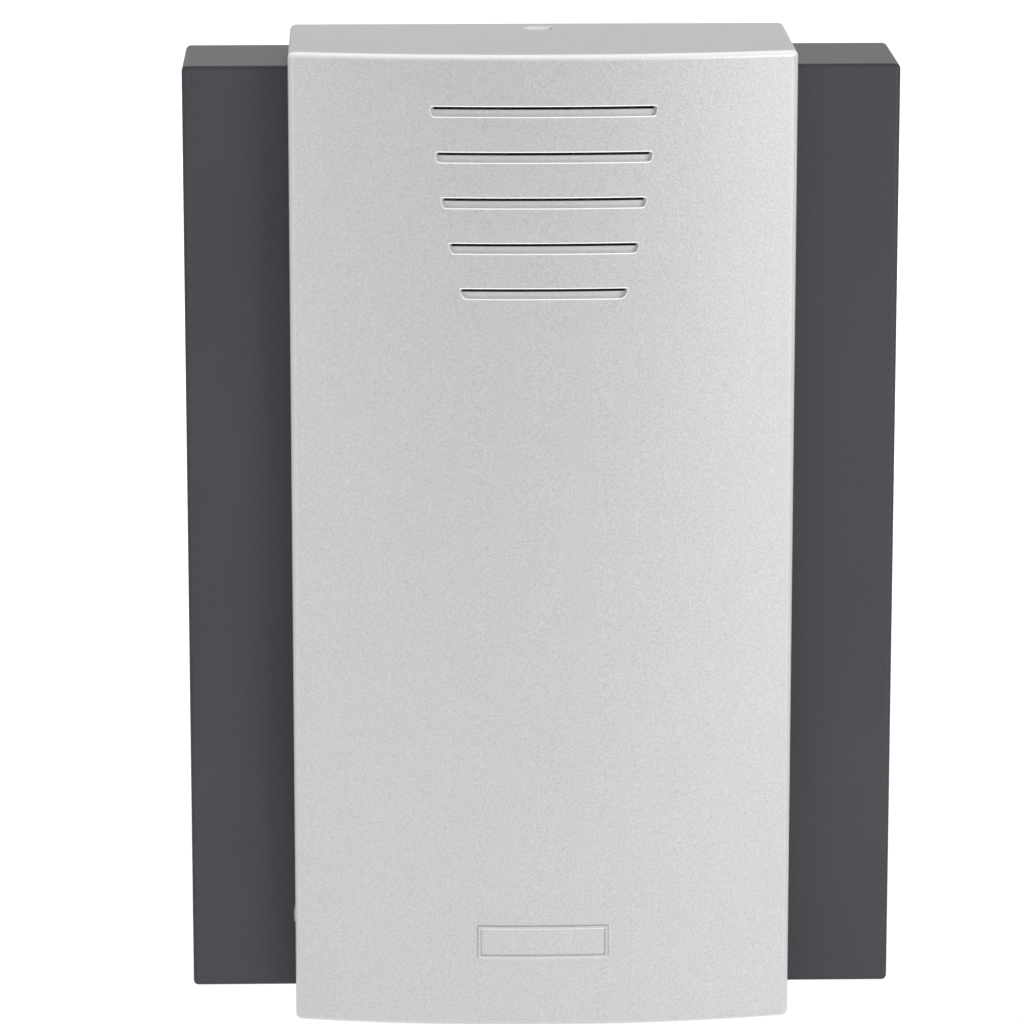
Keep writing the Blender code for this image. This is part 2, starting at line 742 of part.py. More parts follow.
def make_plunger():
    shoulder = CORE_HALF_LENGTH - CORE_NECK_LENGTH
    core = [
        (0, CORE_HALF_LENGTH),
        (CORE_NECK_RADIUS, CORE_HALF_LENGTH),
        (CORE_NECK_RADIUS, shoulder),
        (CORE_RADIUS, shoulder),
    ]
    core += [(radius, -height) for radius, height in reversed(core)]
    keep(turned("plunger_core", core, (0, SOLENOID_Y, 0), "+X"), YOKE_STEEL)

    # Nylon strikers pushed over the core's necks; the right one has the spring's collar.
    bore = CORE_NECK_RADIUS + GAP
    bore_end = CORE_HALF_LENGTH + GAP
    mouth = shoulder + GAP
    start = [
        (0, STRIKER_TIP_X),
        (0.0012, STRIKER_TIP_X - 0.0002),
        (0.0020, STRIKER_TIP_X - 0.0008),
        (0.0025, STRIKER_TIP_X - 0.0020),
        (0.0028, COLLAR_X + 0.0060),
        (CORE_RADIUS, COLLAR_X + 0.0040),
    ]
    collar = [
        (CORE_RADIUS, COLLAR_X + 0.0015),
        (0.0056, COLLAR_X + 0.0015),
        (0.0056, COLLAR_X),
        (CORE_RADIUS, COLLAR_X),
    ]
    finish = [(CORE_RADIUS, mouth), (bore, mouth), (bore, bore_end), (0, bore_end)]
    right = turned("striker_right", start + collar + finish, (0, SOLENOID_Y, 0), "+X", 20)
    left = turned("striker_left", start + finish, (0, SOLENOID_Y, 0), "-X", 20)
    keep(right, NYLON)
    keep(left, NYLON)

    # Return spring between the yoke's right end and the collar.
    first = YOKE_HALF_LENGTH + GAP + SPRING_WIRE
    last = COLLAR_X - GAP - SPRING_WIRE
    count = SPRING_TURNS * 12
    coil = []
    for step in range(count + 1):
        angle = 2 * math.pi * SPRING_TURNS * step / count
        coil.append(
            (
                first + (last - first) * step / count,
                SOLENOID_Y + SPRING_RADIUS * math.cos(angle),
                SPRING_RADIUS * math.sin(angle),
            )
        )
    keep(wire("return_spring", coil, SPRING_WIRE), SPRING_STEEL)


# ---- terminal block, wires and screws -----------------------------------------------
def pan_screw(name, x, y, z, length, radius=SCREW_RADIUS, head=SCREW_HEAD_RADIUS):
    """A slotted pan-head screw along Y: y is the underside of its head."""
    profile = [
        (0, SCREW_HEAD_HEIGHT),
        (head - 0.0008, SCREW_HEAD_HEIGHT),
        (head, SCREW_HEAD_HEIGHT - 0.0007),
        (head, 0),
        (radius, 0),
        (radius, -length + 0.0010),
        (radius / 3, -length),
        (0, -length),
    ]
    screw = turned(name, profile, (x, y, z), "-Y", 16)
    slot = block(
        name + "_slot",
        (x - head - 0.001, y - SCREW_HEAD_HEIGHT - 0.001, z - 0.0003),
        (x + head + 0.001, y - SCREW_HEAD_HEIGHT + 0.0007, z + 0.0003),
    )
    cut(screw, slot)
    return screw


def make_terminals():
    terminal = block("terminal_block", BLOCK_LOW, BLOCK_HIGH)
    round_all_edges(terminal, 0.0005)
    low_z, high_z = BLOCK_LOW[2], BLOCK_HIGH[2]
    middle_z = (low_z + high_z) / 2
    front = BLOCK_LOW[1]
    for side_x, side in ((-1, "left"), (1, "right")):
        x = side_x * TERMINAL_X
        half = 0.0025
        channel = half + GAP
        well_end = CLAMP_LOW_Y + 0.0005
        cut(
            terminal,
            block(
                f"channel_{side}",
                (x - channel, CLAMP_LOW_Y - GAP, low_z - 0.002),
                (x + channel, CLAMP_HIGH_Y + GAP, high_z + 0.002),
            ),
            rod(
                f"well_{side}", 0.0026, (x, front - 0.002, middle_z), (x, well_end, middle_z), "Y"
            ),
        )
        clamp = block(
            f"terminal_clamp_{side}",
            (x - half, CLAMP_LOW_Y, CLAMP_LOW_Z),
            (x + half, CLAMP_HIGH_Y, CLAMP_HIGH_Z),
        )
        wire_ends = ((x, WIRE_Y, CLAMP_LOW_Z - 0.002), (x, WIRE_Y, CLAMP_HIGH_Z + 0.002))
        screw_ends = ((x, CLAMP_LOW_Y - 0.002, middle_z), (x, WIRE_Y, middle_z))
        cut(
            clamp,
            rod(f"wire_hole_{side}", 0.0015, *wire_ends, "Z", 16),
            rod(f"clamp_thread_{side}", 0.0014, *screw_ends, "Y", 16),
        )
        keep(clamp, BRASS)
        under_head = CLAMP_LOW_Y - 2 * GAP
        terminal_screw = pan_screw(
            f"terminal_screw_{side}", x, under_head, middle_z, 0.0019, 0.0011, 0.0022
        )
        keep(terminal_screw, YOKE_STEEL)
        make_lead(f"coil_lead_{side}", side_x)

    hole_ends = ((0, front - 0.002, middle_z), (0, 0.001, middle_z))
    cut(terminal, rod("block_hole", PILOT_RADIUS, *hole_ends, "Y", 16))
    keep(terminal, WHITE_ABS)
    keep(pan_screw("block_screw", 0, front - GAP, middle_z, 0.0140, head=0.0024), YOKE_STEEL)


def make_lead(name, side_x):
    """A coil end from the winding down into its terminal, on one smooth curve."""
    controls = [
        (0.0130, SOLENOID_Y, -0.0093),
        (0.0132, SOLENOID_Y + 0.0005, -0.0200),
        (TERMINAL_X, WIRE_Y, -0.0270),
        (TERMINAL_X, WIRE_Y, CLAMP_HIGH_Z - 0.0015),
    ]
    points = []
    count = 16
    for step in range(count + 1):
        t = step / count
        weights = ((1 - t) ** 3, 3 * t * (1 - t) ** 2, 3 * t**2 * (1 - t), t**3)
        place = [sum(w * c[axis] for w, c in zip(weights, controls)) for axis in range(3)]
        points.append((side_x * place[0], place[1], place[2]))
    keep(wire(name, points, WIRE_RADIUS), RED_WIRE)


def make_screws():
    for side, name in ((1, "upper"), (-1, "lower")):
        housing_screw = pan_screw(
            f"housing_screw_{name}", 0, -HOUSING_DEPTH - GAP, side * HOUSING_SCREW_Z, 0.0150
        )
        keep(housing_screw, YOKE_STEEL)
        ear_face = YOKE_BACK_Y - STEEL - GAP
        solenoid_screw = pan_screw(
            f"solenoid_screw_{name}", 0, ear_face, side * YOKE_EAR_Z, 0.0058, head=0.0024
        )
        keep(solenoid_screw, YOKE_STEEL)


def shade_round_pieces():
    """Smooth shading on turned pieces and wires, with their corners kept sharp."""
    for thing in PARTS.objects:
        if thing.type == "MESH" and thing.modifiers.get("turn"):
            thing.modifiers["turn"].use_smooth_shade = True


make_cover()
make_housing()
make_base_plate()
make_latch()
make_tone_plate(-1, "left")
make_tone_plate(1, "right")
make_solenoid()
make_plunger()
make_terminals()
make_screws()
shade_round_pieces()
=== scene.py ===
# %% [markdown]
# # A two-tone door chime
#
# The chime hangs on a wall: a bowed silver cover with five sound slots stands in front
# of a dark housing whose wings hold two steel tone plates. Inside, a solenoid throws a
# plunger at one plate, and a spring throws it back at the other. The engineering model
# is loaded first as a fixed frame. This lesson then remodels every piece of it by hand
# and gives each its finish.

# %% Load the frame
import json
import math
from contextlib import contextmanager

import bmesh
import bpy
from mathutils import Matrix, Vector


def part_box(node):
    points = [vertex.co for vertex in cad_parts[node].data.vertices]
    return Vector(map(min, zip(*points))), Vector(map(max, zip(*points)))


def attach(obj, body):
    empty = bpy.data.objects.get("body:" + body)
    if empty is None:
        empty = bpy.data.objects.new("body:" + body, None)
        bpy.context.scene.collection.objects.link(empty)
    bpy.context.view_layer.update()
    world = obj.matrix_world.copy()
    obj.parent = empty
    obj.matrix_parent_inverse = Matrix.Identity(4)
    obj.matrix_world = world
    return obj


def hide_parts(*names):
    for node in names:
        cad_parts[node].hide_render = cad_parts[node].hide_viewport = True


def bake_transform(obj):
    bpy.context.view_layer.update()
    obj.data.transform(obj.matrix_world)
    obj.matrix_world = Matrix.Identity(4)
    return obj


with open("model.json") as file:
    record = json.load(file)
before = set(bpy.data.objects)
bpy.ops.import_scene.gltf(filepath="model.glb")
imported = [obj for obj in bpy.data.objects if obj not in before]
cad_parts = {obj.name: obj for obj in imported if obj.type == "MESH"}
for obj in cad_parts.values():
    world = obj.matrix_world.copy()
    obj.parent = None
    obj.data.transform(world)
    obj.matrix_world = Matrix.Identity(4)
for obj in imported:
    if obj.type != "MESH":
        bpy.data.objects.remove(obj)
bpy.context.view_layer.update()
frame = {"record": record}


# %% [markdown]
# ## Camera
#
# A long lens from above and a little to the left keeps the verticals nearly parallel,
# as in a catalogue picture. The camera could be aimed by a Track To constraint, but two
# angles say the same and can be read.

# %% Set up the camera
CAMERA_PLACE = (-0.034, -1.121, 0.256)
LOOK_DOWN = math.radians(12.98)
LOOK_RIGHT = math.radians(1.4735)
LENS = 193.9

camera = bpy.data.objects.new("camera", bpy.data.cameras.new("camera"))
bpy.context.scene.collection.objects.link(camera)
camera.location = CAMERA_PLACE
camera.rotation_euler = (math.pi / 2 - LOOK_DOWN, 0, -LOOK_RIGHT)
camera.data.lens = LENS
camera.data.sensor_width = 36.0
camera.data.clip_start = 0.01
bpy.context.scene.camera = camera
bpy.context.scene.view_settings.view_transform = "Standard"
print("camera at", CAMERA_PLACE)

# %% [markdown]
# ## Floor and light
#
# A pale floor well below the chime keeps shadows off it. The world gives soft light from
# everywhere, a little blue. Two tall area lamps, a little warm, stand left and right in
# front, the right one stronger, so the bowed cover grows brighter towards its right side.
# Two small lamps high at the right and a low one under the chime shape the edges. One
# behind skims the top faces, and one with a narrow spread washes the floor white without
# reaching the chime.

# %% Lay the floor
FLOOR_Z, FLOOR_SIZE = -0.45, 14

bpy.ops.mesh.primitive_plane_add(size=FLOOR_SIZE, location=(0, 0, FLOOR_Z))
floor = bpy.context.object
floor.name = "floor"
paint = bpy.data.materials.new("floor_paint")
paint.use_nodes = True
shader = paint.node_tree.nodes["Principled BSDF"]
shader.inputs["Base Color"].default_value = (0.93, 0.93, 0.93, 1)
shader.inputs["Roughness"].default_value = 0.9
floor.data.materials.append(paint)
print("floor at", FLOOR_Z)

# %% Light the studio
LAMPS = {
    # name: (place, point it faces, size in metres, watts, spread in degrees)
    "right_front": ((0.9, -1.2, 0.2), (0, 0, 0), (0.7, 1.2), 6.0, 180),
    "left_front": ((-0.9, -1.2, 0.2), (0, 0, 0), (0.7, 1.2), 3.4, 180),
    "right_upper": ((0.7, -0.9, 0.6), (0, 0, 0), (0.6, 0.5), 2.2, 180),
    "right_near": ((0.55, -0.75, 0.35), (0, 0, 0), (0.25, 0.3), 0.6, 180),
    "low_front": ((0, -0.8, -0.42), (0, 0, 0), (1.2, 0.5), 2.2, 180),
    "back_low": ((0, 2.2, 0.6), (0, 0, 0), (2.4, 0.5), 3.6, 180),
    "floor_wash": ((0, 3.0, 1.8), (0, 3.0, FLOOR_Z), (3.6, 2.8), 26.0, 100),
}
WORLD_STRENGTH = 0.78
WORLD_COLOUR = (0.965, 0.99, 1.03, 1)
LAMP_COLOUR = (1.0, 0.985, 0.955)


def aim_lamp(name, place, target, size, watts, spread):
    """A rectangular lamp that faces a point."""
    lamp = bpy.data.lights.new(name, "AREA")
    lamp.shape = "RECTANGLE"
    lamp.size, lamp.size_y = size
    lamp.energy = watts
    lamp.color = LAMP_COLOUR
    lamp.spread = math.radians(spread)
    holder = bpy.data.objects.new(name, lamp)
    bpy.context.scene.collection.objects.link(holder)
    holder.location = place
    aim = Vector(target) - Vector(place)
    holder.rotation_euler = aim.to_track_quat("-Z", "Y").to_euler()


for lamp_name, setting in LAMPS.items():
    aim_lamp(lamp_name, *setting)

world = bpy.data.worlds.new("studio")
world.use_nodes = True
sky = world.node_tree.nodes["Background"]
sky.inputs["Color"].default_value = WORLD_COLOUR
sky.inputs["Strength"].default_value = WORLD_STRENGTH
bpy.context.scene.world = world
print(len(LAMPS), "lamps and a white world")

# %% [markdown]
# ## Helpers for modelling by hand
#
# Every shape starts as a primitive and is worked in edit mode. In a script, the two
# things a hand does without thinking have to be said: which object is active, and which
# vertices, edges or faces are selected. `only` and `edit` do the first, `pick` the second.
# A cutting tool reaches a little past what it cuts, by `OVER`, so that no skin is left.


# %% Selecting and editing
OVER = 0.002


def only(piece):
    """Makes one object the whole selection."""
    bpy.ops.object.select_all(action="DESELECT")
    piece.select_set(True)
    bpy.context.view_layer.objects.active = piece
    return piece


@contextmanager
def edit(piece, mode="VERT"):
    """Opens a piece in edit mode with nothing selected, and closes it again."""
    only(piece)
    bpy.ops.object.mode_set(mode="EDIT")
    bpy.ops.mesh.select_mode(type=mode)
    bpy.ops.mesh.select_all(action="DESELECT")
    yield
    bpy.ops.object.mode_set(mode="OBJECT")


def pick(kind, test):
    """Selects only the verts, edges or faces that pass a test, and counts them."""
    bpy.ops.mesh.select_all(action="DESELECT")
    mesh = bmesh.from_edit_mesh(bpy.context.object.data)
    mesh.normal_update()
    found = [item for item in getattr(mesh, kind) if test(item)]
    for item in found:
        item.select_set(True)
    mesh.select_flush_mode()
    bmesh.update_edit_mesh(bpy.context.object.data)
    return len(found)


def reach(edge, axis="y"):
    """How far an edge reaches along one axis."""
    first, second = (getattr(vertex.co, axis) for vertex in edge.verts)
    return abs(first - second)


def round_edges(piece, test, radius, segments):
    """Bevels the edges that pass a test."""
    with edit(piece, "EDGE"):
        found = pick("edges", test)
        bpy.ops.mesh.bevel(offset=radius, segments=segments, profile=0.5)
    return found


def settle(piece):
    """Applies place, turn and scale, so the piece's shape says where it is."""
    only(piece)
    bpy.ops.object.transform_apply(location=True, rotation=True, scale=True)
    return piece


def box(name, low, high):
    """A cube primitive stretched between two corners."""
    low, high = Vector(low), Vector(high)
    bpy.ops.mesh.primitive_cube_add(size=1, location=(low + high) / 2, scale=high - low)
    piece = bpy.context.object
    piece.name = name
    return settle(piece)


def post(name, radius, start, end, axis="Y", sides=32):
    """A round bar between two points, as a tool or as material to add."""
    start, end = Vector(start), Vector(end)
    turn = {"X": (0, math.pi / 2, 0), "Y": (math.pi / 2, 0, 0), "Z": (0, 0, 0)}[axis]
    bpy.ops.mesh.primitive_cylinder_add(
        vertices=sides,
        radius=radius,
        depth=(end - start).length,
        location=(start + end) / 2,
        rotation=turn,
    )
    bar = bpy.context.object
    bar.name = name
    return settle(bar)


def pin(name, radius, x, z, near, far, sides=32):
    """A round bar that points at the wall, between two depths."""
    return post(name, radius, (x, near, z), (x, far, z), sides=sides)


def apply_modifier(piece, kind, **settings):
    """Adds a modifier, sets it and applies it."""
    only(piece)
    modifier = piece.modifiers.new(kind.lower(), kind)
    for setting, value in settings.items():
        setattr(modifier, setting, value)
    bpy.ops.object.modifier_apply(modifier=modifier.name)
    return piece


def carve(piece, *tools, operation="DIFFERENCE"):
    """Cuts a piece with each tool in turn, or joins them, and throws the tools away."""
    for tool in tools:
        apply_modifier(piece, "BOOLEAN", operation=operation, solver="EXACT", object=tool)
        bpy.data.objects.remove(tool)
    return piece


def tidy_normals(piece):
    """Merges doubled vertices and turns every face outwards."""
    with edit(piece):
        bpy.ops.mesh.select_all(action="SELECT")
        bpy.ops.mesh.remove_doubles(threshold=1e-6)
        bpy.ops.mesh.normals_make_consistent(inside=False)
    return piece


def smooth(piece, degrees=30):
    """Smooth shading, with edges sharper than the angle kept as edges."""
    only(piece)
    bpy.ops.object.shade_smooth_by_angle(angle=math.radians(degrees))
    apply_modifier(piece, "WEIGHTED_NORMAL", keep_sharp=True, weight=80)
    return piece


def counted(piece):
    print(f"{piece.name}: {len(piece.data.polygons)} faces")
    return piece


# %% [markdown]
# ## The silver cover
#
# The real cover is one injection moulding: a shell about two millimetres thick, flat at
# the sides and bowed across the front, painted silver. Spin draws the bow exactly: one
# edge of the left wall is swept round the bow's centre until it reaches the right wall.

# %% Measure the cover
cover_low, cover_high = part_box("front_cover")
COVER_HALF = (cover_high.x - cover_low.x) / 2
COVER_TOP = cover_high.z
PLATE_RISE = 0.00035
FRONT_Y = cover_low.y + PLATE_RISE
BOW = 0.0055
WALL = 0.0022
EDGE_RADIUS = 0.0012
SHARP = math.radians(30)
BOW_RADIUS = (COVER_HALF**2 + BOW**2) / (2 * BOW)
BOW_CENTRE = Vector((0, FRONT_Y + BOW_RADIUS, 0))
housing_low, housing_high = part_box("housing")
HOUSING_TOP = housing_high.z
RIB_HEIGHT = 0.0040
HOUSING_FRONT = housing_low.y + RIB_HEIGHT
GAP = 0.0003
print(f"bow radius {1000 * BOW_RADIUS:.1f} mm")


# %% Spin a bowed block
def spin_about_bow(angle, steps):
    """Sweeps what is selected round the bow's upright axis, to the right."""
    bpy.ops.mesh.spin(steps=steps, angle=angle, center=BOW_CENTRE, axis=(0, 0, -1))


def upright_sheet(name, x, y_range, z_range):
    """A plane primitive turned to face sideways, between two depths and two heights."""
    (near, far), (low, high) = y_range, z_range
    middle = (x, (near + far) / 2, (low + high) / 2)
    bpy.ops.mesh.primitive_plane_add(size=1, location=middle, rotation=(0, math.pi / 2, 0))
    sheet = bpy.context.object
    sheet.name = name
    sheet.scale = (high - low, far - near, 1)
    return settle(sheet)


def bowed_block(name, inset, back, half_height, steps=48):
    """A closed block with the cover's plan, moved in from its outer face by inset."""
    half = COVER_HALF - inset
    radius = BOW_RADIUS - inset
    side_angle = math.asin(half / radius)
    side_y = BOW_CENTRE.y - radius * math.cos(side_angle)
    block = upright_sheet(name, -half, (side_y, back), (-half_height, half_height))
    with edit(block, "EDGE"):
        pick("edges", lambda e: all(v.co.y < side_y + 1e-5 for v in e.verts))
        spin_about_bow(2 * side_angle, steps)
        bpy.ops.mesh.extrude_region_move(
            TRANSFORM_OT_translate={"value": (0, back - side_y, 0)}
        )
        for side in (-1, 1):
            pick(
                "edges",
                lambda e: e.is_boundary
                and all(v.co.z * side > half_height - 1e-5 for v in e.verts),
            )
            bpy.ops.mesh.edge_face_add()
        pick("edges", lambda e: e.is_boundary)
        bpy.ops.mesh.edge_face_add()
    return tidy_normals(block)


cover = bowed_block("cover_shell", 0, 0, COVER_TOP)
round_edges(
    cover,
    lambda e: any(v.co.y < -0.001 for v in e.verts) and e.calc_face_angle(0) > SHARP,
    EDGE_RADIUS,
    6,
)
carve(cover, bowed_block("hollow", WALL, 0.010, COVER_TOP - WALL))
counted(cover)

# %% [markdown]
# The side walls stop short where the shell straddles the housing, and the top wall has a
# small window for the latch tongue. Behind the window the wall is thinned from inside,
# so that the tongue can ride under it.

# %% Cut the side notch and the latch window
latch_low, latch_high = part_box("latch_tongue")
WINDOW_HALF = 0.00285
WINDOW_NEAR, WINDOW_FAR = -0.0046, -0.0092
RELIEF_SIDE, RELIEF_FRONT, RELIEF_DEEP = 0.0008, 0.001, 0.0012
notch_z = HOUSING_TOP + GAP
inner_top = COVER_TOP - WALL

carve(
    cover,
    box("notch", (-0.06, HOUSING_FRONT - GAP, -notch_z), (0.06, OVER, notch_z)),
    box(
        "window",
        (-WINDOW_HALF, WINDOW_FAR, inner_top - OVER / 2),
        (WINDOW_HALF, WINDOW_NEAR, COVER_TOP + OVER),
    ),
    box(
        "relief",
        (-WINDOW_HALF - RELIEF_SIDE, WINDOW_FAR + RELIEF_FRONT, inner_top - OVER / 2),
        (WINDOW_HALF + RELIEF_SIDE, OVER, inner_top + RELIEF_DEEP),
    ),
)
counted(cover)

# %% [markdown]
# Low on the left wall a small moulded pip stands out, where the cover snaps over the
# housing. A flattened ball, sunk most of the way into the wall, gives its lens shape.

# %% Add the snap pip
PIP_Z, PIP_Y = -0.0780, -0.0375
PIP_PROUD, PIP_HALF_DEPTH, PIP_HALF_HEIGHT = 0.00035, 0.0011, 0.0019

bpy.ops.mesh.primitive_uv_sphere_add(
    segments=32,
    ring_count=16,
    radius=1,
    location=(-COVER_HALF, PIP_Y, PIP_Z),
    scale=(PIP_PROUD, PIP_HALF_DEPTH, PIP_HALF_HEIGHT),
)
pip = bpy.context.object
pip.name = "pip"
carve(cover, settle(pip), operation="UNION")
counted(cover)

# %% [markdown]
# ### Sound slots
#
# Each slot is a stepped louvre. A groove in the front and a higher groove in the back
# overlap only in a thin line, so sound gets out while the eye meets a silver wall under
# a dark line. Each groove's tool is spun about the bow's axis, so it keeps one depth.
# The slots' ends lean inwards, more on the lower slots.

# %% Make one groove tool
SLOT_HEIGHT = 0.0019
SLOT_PITCH = 0.00912
SLOT_TOP = 0.0888
SLOT_LENGTHS = (0.0446, 0.0428, 0.0406, 0.0377, 0.0334)
SLOT_LEANS = (0.0001, 0.0002, 0.0003, 0.0005, 0.0008)
SLOT_LOW_CORNER, SLOT_HIGH_CORNER = 0.00065, 0.0004
GROOVE_DEPTH = 0.0013
BACK_RISE, BACK_HEIGHT, BACK_SHORTER = 0.0012, 0.0023, 0.0004


def bow_bar(name, length, low, high, inner, outer, steps=24):
    """A bar that follows the bow, between two depths behind its outer face."""
    half_angle = math.asin(length / 2 / BOW_RADIUS)
    bar = upright_sheet(name, 0, (FRONT_Y + outer, FRONT_Y + inner), (low, high))
    with edit(bar, "FACE"):
        bpy.ops.mesh.select_all(action="SELECT")
        turn = {"value": half_angle, "orient_axis": "Z", "center_override": BOW_CENTRE}
        bpy.ops.transform.rotate(**turn)
        spin_about_bow(2 * half_angle, steps)
    return tidy_normals(bar)


def slot_low(number):
    """The height of a slot's lower edge."""
    return SLOT_TOP - number * SLOT_PITCH - SLOT_HEIGHT / 2


def slot_outline(length, low, lean):
    """A block with the slot's outline: leaning ends and rounded corners."""
    block = box(
        "outline", (-length / 2, FRONT_Y - 0.004, low), (length / 2, 0, low + SLOT_HEIGHT)
    )
    with edit(block):
        for side in (-1, 1):
            pick("verts", lambda v: v.co.x * side > 0 and v.co.z < low + 1e-5)
            bpy.ops.transform.translate(value=(-side * lean, 0, 0))
    half_way = low + SLOT_HEIGHT / 2
    for radius, at_bottom in ((SLOT_LOW_CORNER, True), (SLOT_HIGH_CORNER, False)):
        round_edges(
            block,
            lambda e: reach(e) > 0.002 and (e.verts[0].co.z < half_way) == at_bottom,
            radius,
            4,
        )
    return block


def slot_tools(number):
    """The front and back groove of one slot."""
    length, lean = SLOT_LENGTHS[number], SLOT_LEANS[number]
    low = slot_low(number)
    front = bow_bar("front", length + 0.002, low - 0.001, low + 0.003, GROOVE_DEPTH, -0.002)
    carve(front, slot_outline(length, low, lean), operation="INTERSECT")
    back_low, back_length = low + BACK_RISE, length - 2 * BACK_SHORTER
    heights, depths = (back_low, back_low + BACK_HEIGHT), (0.005, WALL - GROOVE_DEPTH)
    return front, bow_bar("back", back_length, *heights, *depths)


for number in range(len(SLOT_LENGTHS)):
    carve(cover, *slot_tools(number))
counted(cover)

# %% [markdown]
# Paint rounds every moulded edge. The grooves' rims are found by their place on the
# outer face and bevelled. The bevel catches the light, and a painted highlight marked
# below adds to it, which gives each slot the bright line that runs round it.


# %% Round the rims of the slots
RIM_BEVEL = 0.00026


def bow_depth(point):
    """How far a point lies behind the cover's bowed outer face."""
    return BOW_RADIUS - (Vector((point.x, point.y, 0)) - BOW_CENTRE).length


def in_grille(point):
    return 0.045 < point.z < 0.095 and abs(point.x) < 0.024


def is_slot_rim(edge):
    on_face = all(abs(bow_depth(v.co)) < 5e-5 and in_grille(v.co) for v in edge.verts)
    return on_face and edge.calc_face_angle(0) > math.radians(50)


with edit(cover, "EDGE"):
    rims = pick("edges", is_slot_rim)
    bpy.ops.mesh.bevel(offset=RIM_BEVEL, segments=2, profile=0.6, clamp_overlap=False)
print(rims, "rim edges rounded")

# %% [markdown]
# ### The blank plate
#
# Near the bottom a small raised frame stands round a sunken blank field. The plate starts
# as a bar on the bow. Inset and Extrude on its outer face make the frame's slopes, as they
# would by hand.

# %% Model the raised plate
PLATE_LENGTH, PLATE_HEIGHT, PLATE_Z = 0.0267, 0.0070, -0.0820
PLATE_SINK = 0.0006
# The rise, the flat top and the fall of the frame: how far in, and how far up.
FRAME_STEPS = ((0.00018, 0.00020), (0.00045, 0), (0.00022, -0.00024))


def raise_plate():
    low, high = PLATE_Z - PLATE_HEIGHT / 2, PLATE_Z + PLATE_HEIGHT / 2
    plate = bow_bar("plate", PLATE_LENGTH, low, high, PLATE_SINK, -0.00010, steps=16)
    with edit(plate, "FACE"):
        pick("faces", lambda f: all(bow_depth(v.co) < 0 for v in f.verts))
        for thickness, depth in FRAME_STEPS:
            bpy.ops.mesh.inset(thickness=thickness, depth=depth)
    return plate


carve(cover, raise_plate(), operation="UNION")
tidy_normals(cover)
smooth(cover)
counted(cover)

# %% [markdown]
# Highlights are painted into the cover's colour. The front bevel, the slots' rims, walls
# and floors, the plate's lower slopes and the back wall of the latch window are marked in
# an attribute of the mesh, and the paint is lighter and less metallic where it is set: a
# painted highlight, stronger on bevels that face upwards. The mark fades towards the flat
# front with the slope of the bevel, so the line has a soft side as the real one has.
# Inside the slots it fades upwards from each slot's lower edge, which leaves the upper
# part darker: painted light low in each slot and painted shade under its top wall.


# %% Mark the painted highlights and shade
def on_plate(point):
    return abs(point.x) < PLATE_LENGTH / 2 + 0.001 and abs(point.z - PLATE_Z) < PLATE_HEIGHT


def edge_brightness(face):
    """How strong a face's painted highlight is, from 0 to 1."""
    centre, normal = face.center, face.normal
    # The latch window's back wall gets a full painted highlight.
    in_window = abs(centre.x) < WINDOW_HALF and WINDOW_FAR < centre.y < WINDOW_NEAR + 1e-4
    if in_window and normal.y < -0.9 and centre.z > inner_top:
        return 1.0
    outward = (centre - Vector((BOW_CENTRE.x, BOW_CENTRE.y, centre.z))).normalized()
    depth = bow_depth(centre)
    # Slot walls and floors get painted light, which fades upwards into painted shade.
    if in_grille(centre) and 1e-5 < depth < GROOVE_DEPTH + 1e-5:
        return 0.7 if abs(normal.y) < 0.97 else 0.25
    if not 0.02 < normal.dot(outward) < 0.999 or depth > EDGE_RADIUS:
        return 0.0
    # The plate's downward slopes get a painted highlight.
    if on_plate(centre):
        return 0.9 if normal.z < -0.2 else 0.0
    # Bevel faces get a painted highlight, stronger where they tilt upwards.
    return 0.45 + 0.55 * max(0, normal.z)


def edge_fade(point):
    """How much of the mark is left at a point: little where a bevel meets the front."""
    depth = max(0, bow_depth(point))
    if in_grille(point):
        # In a slot the mark fades upwards from its lower edge: painted shade under the top
        # wall.
        above = point.z - slot_low(round((SLOT_TOP - point.z) / SLOT_PITCH))
        return 1.0 if depth < 1.5 * RIM_BEVEL else 1 - max(0, min(1, above / BACK_RISE))
    if on_plate(point):
        return 1.0
    slope = min(1, depth / EDGE_RADIUS)
    return min(1, 1.4 * math.sqrt(1 - (1 - slope) ** 2))


def mark_bright_edges():
    marks = cover.data.attributes.new("bright_edge", "FLOAT", "CORNER")
    count = 0
    for face in cover.data.polygons:
        brightness = edge_brightness(face)
        count += brightness > 0
        for corner, vertex in zip(face.loop_indices, face.vertices):
            behind = face.center.y > WINDOW_FAR
            fade = 1 if behind else edge_fade(cover.data.vertices[vertex].co)
            marks.data[corner].value = fade * brightness
    return count


print(mark_bright_edges(), "faces marked as bright edge")

# %% [markdown]
# ## The dark housing
#
# The housing is a plain box with rounded edges, open at the back. Its front has a large
# opening behind the cover, two lugs for the screws that hold it to the base plate, and
# two ribs that locate the cover's side walls. A notch at the top lets the latch through.

# %% Model the housing
HOUSING_WALL = 0.0022
OPEN_X, OPEN_Z = 0.044, 0.088
LUG_HALF, LUG_Z = 0.006, 0.076
SCREW_Z, SCREW_HOLE = 0.082, 0.0016
RIB_WALL, RIB_Z = 0.0018, 0.080
NOTCH_X, NOTCH_Y = 0.005, -0.0155


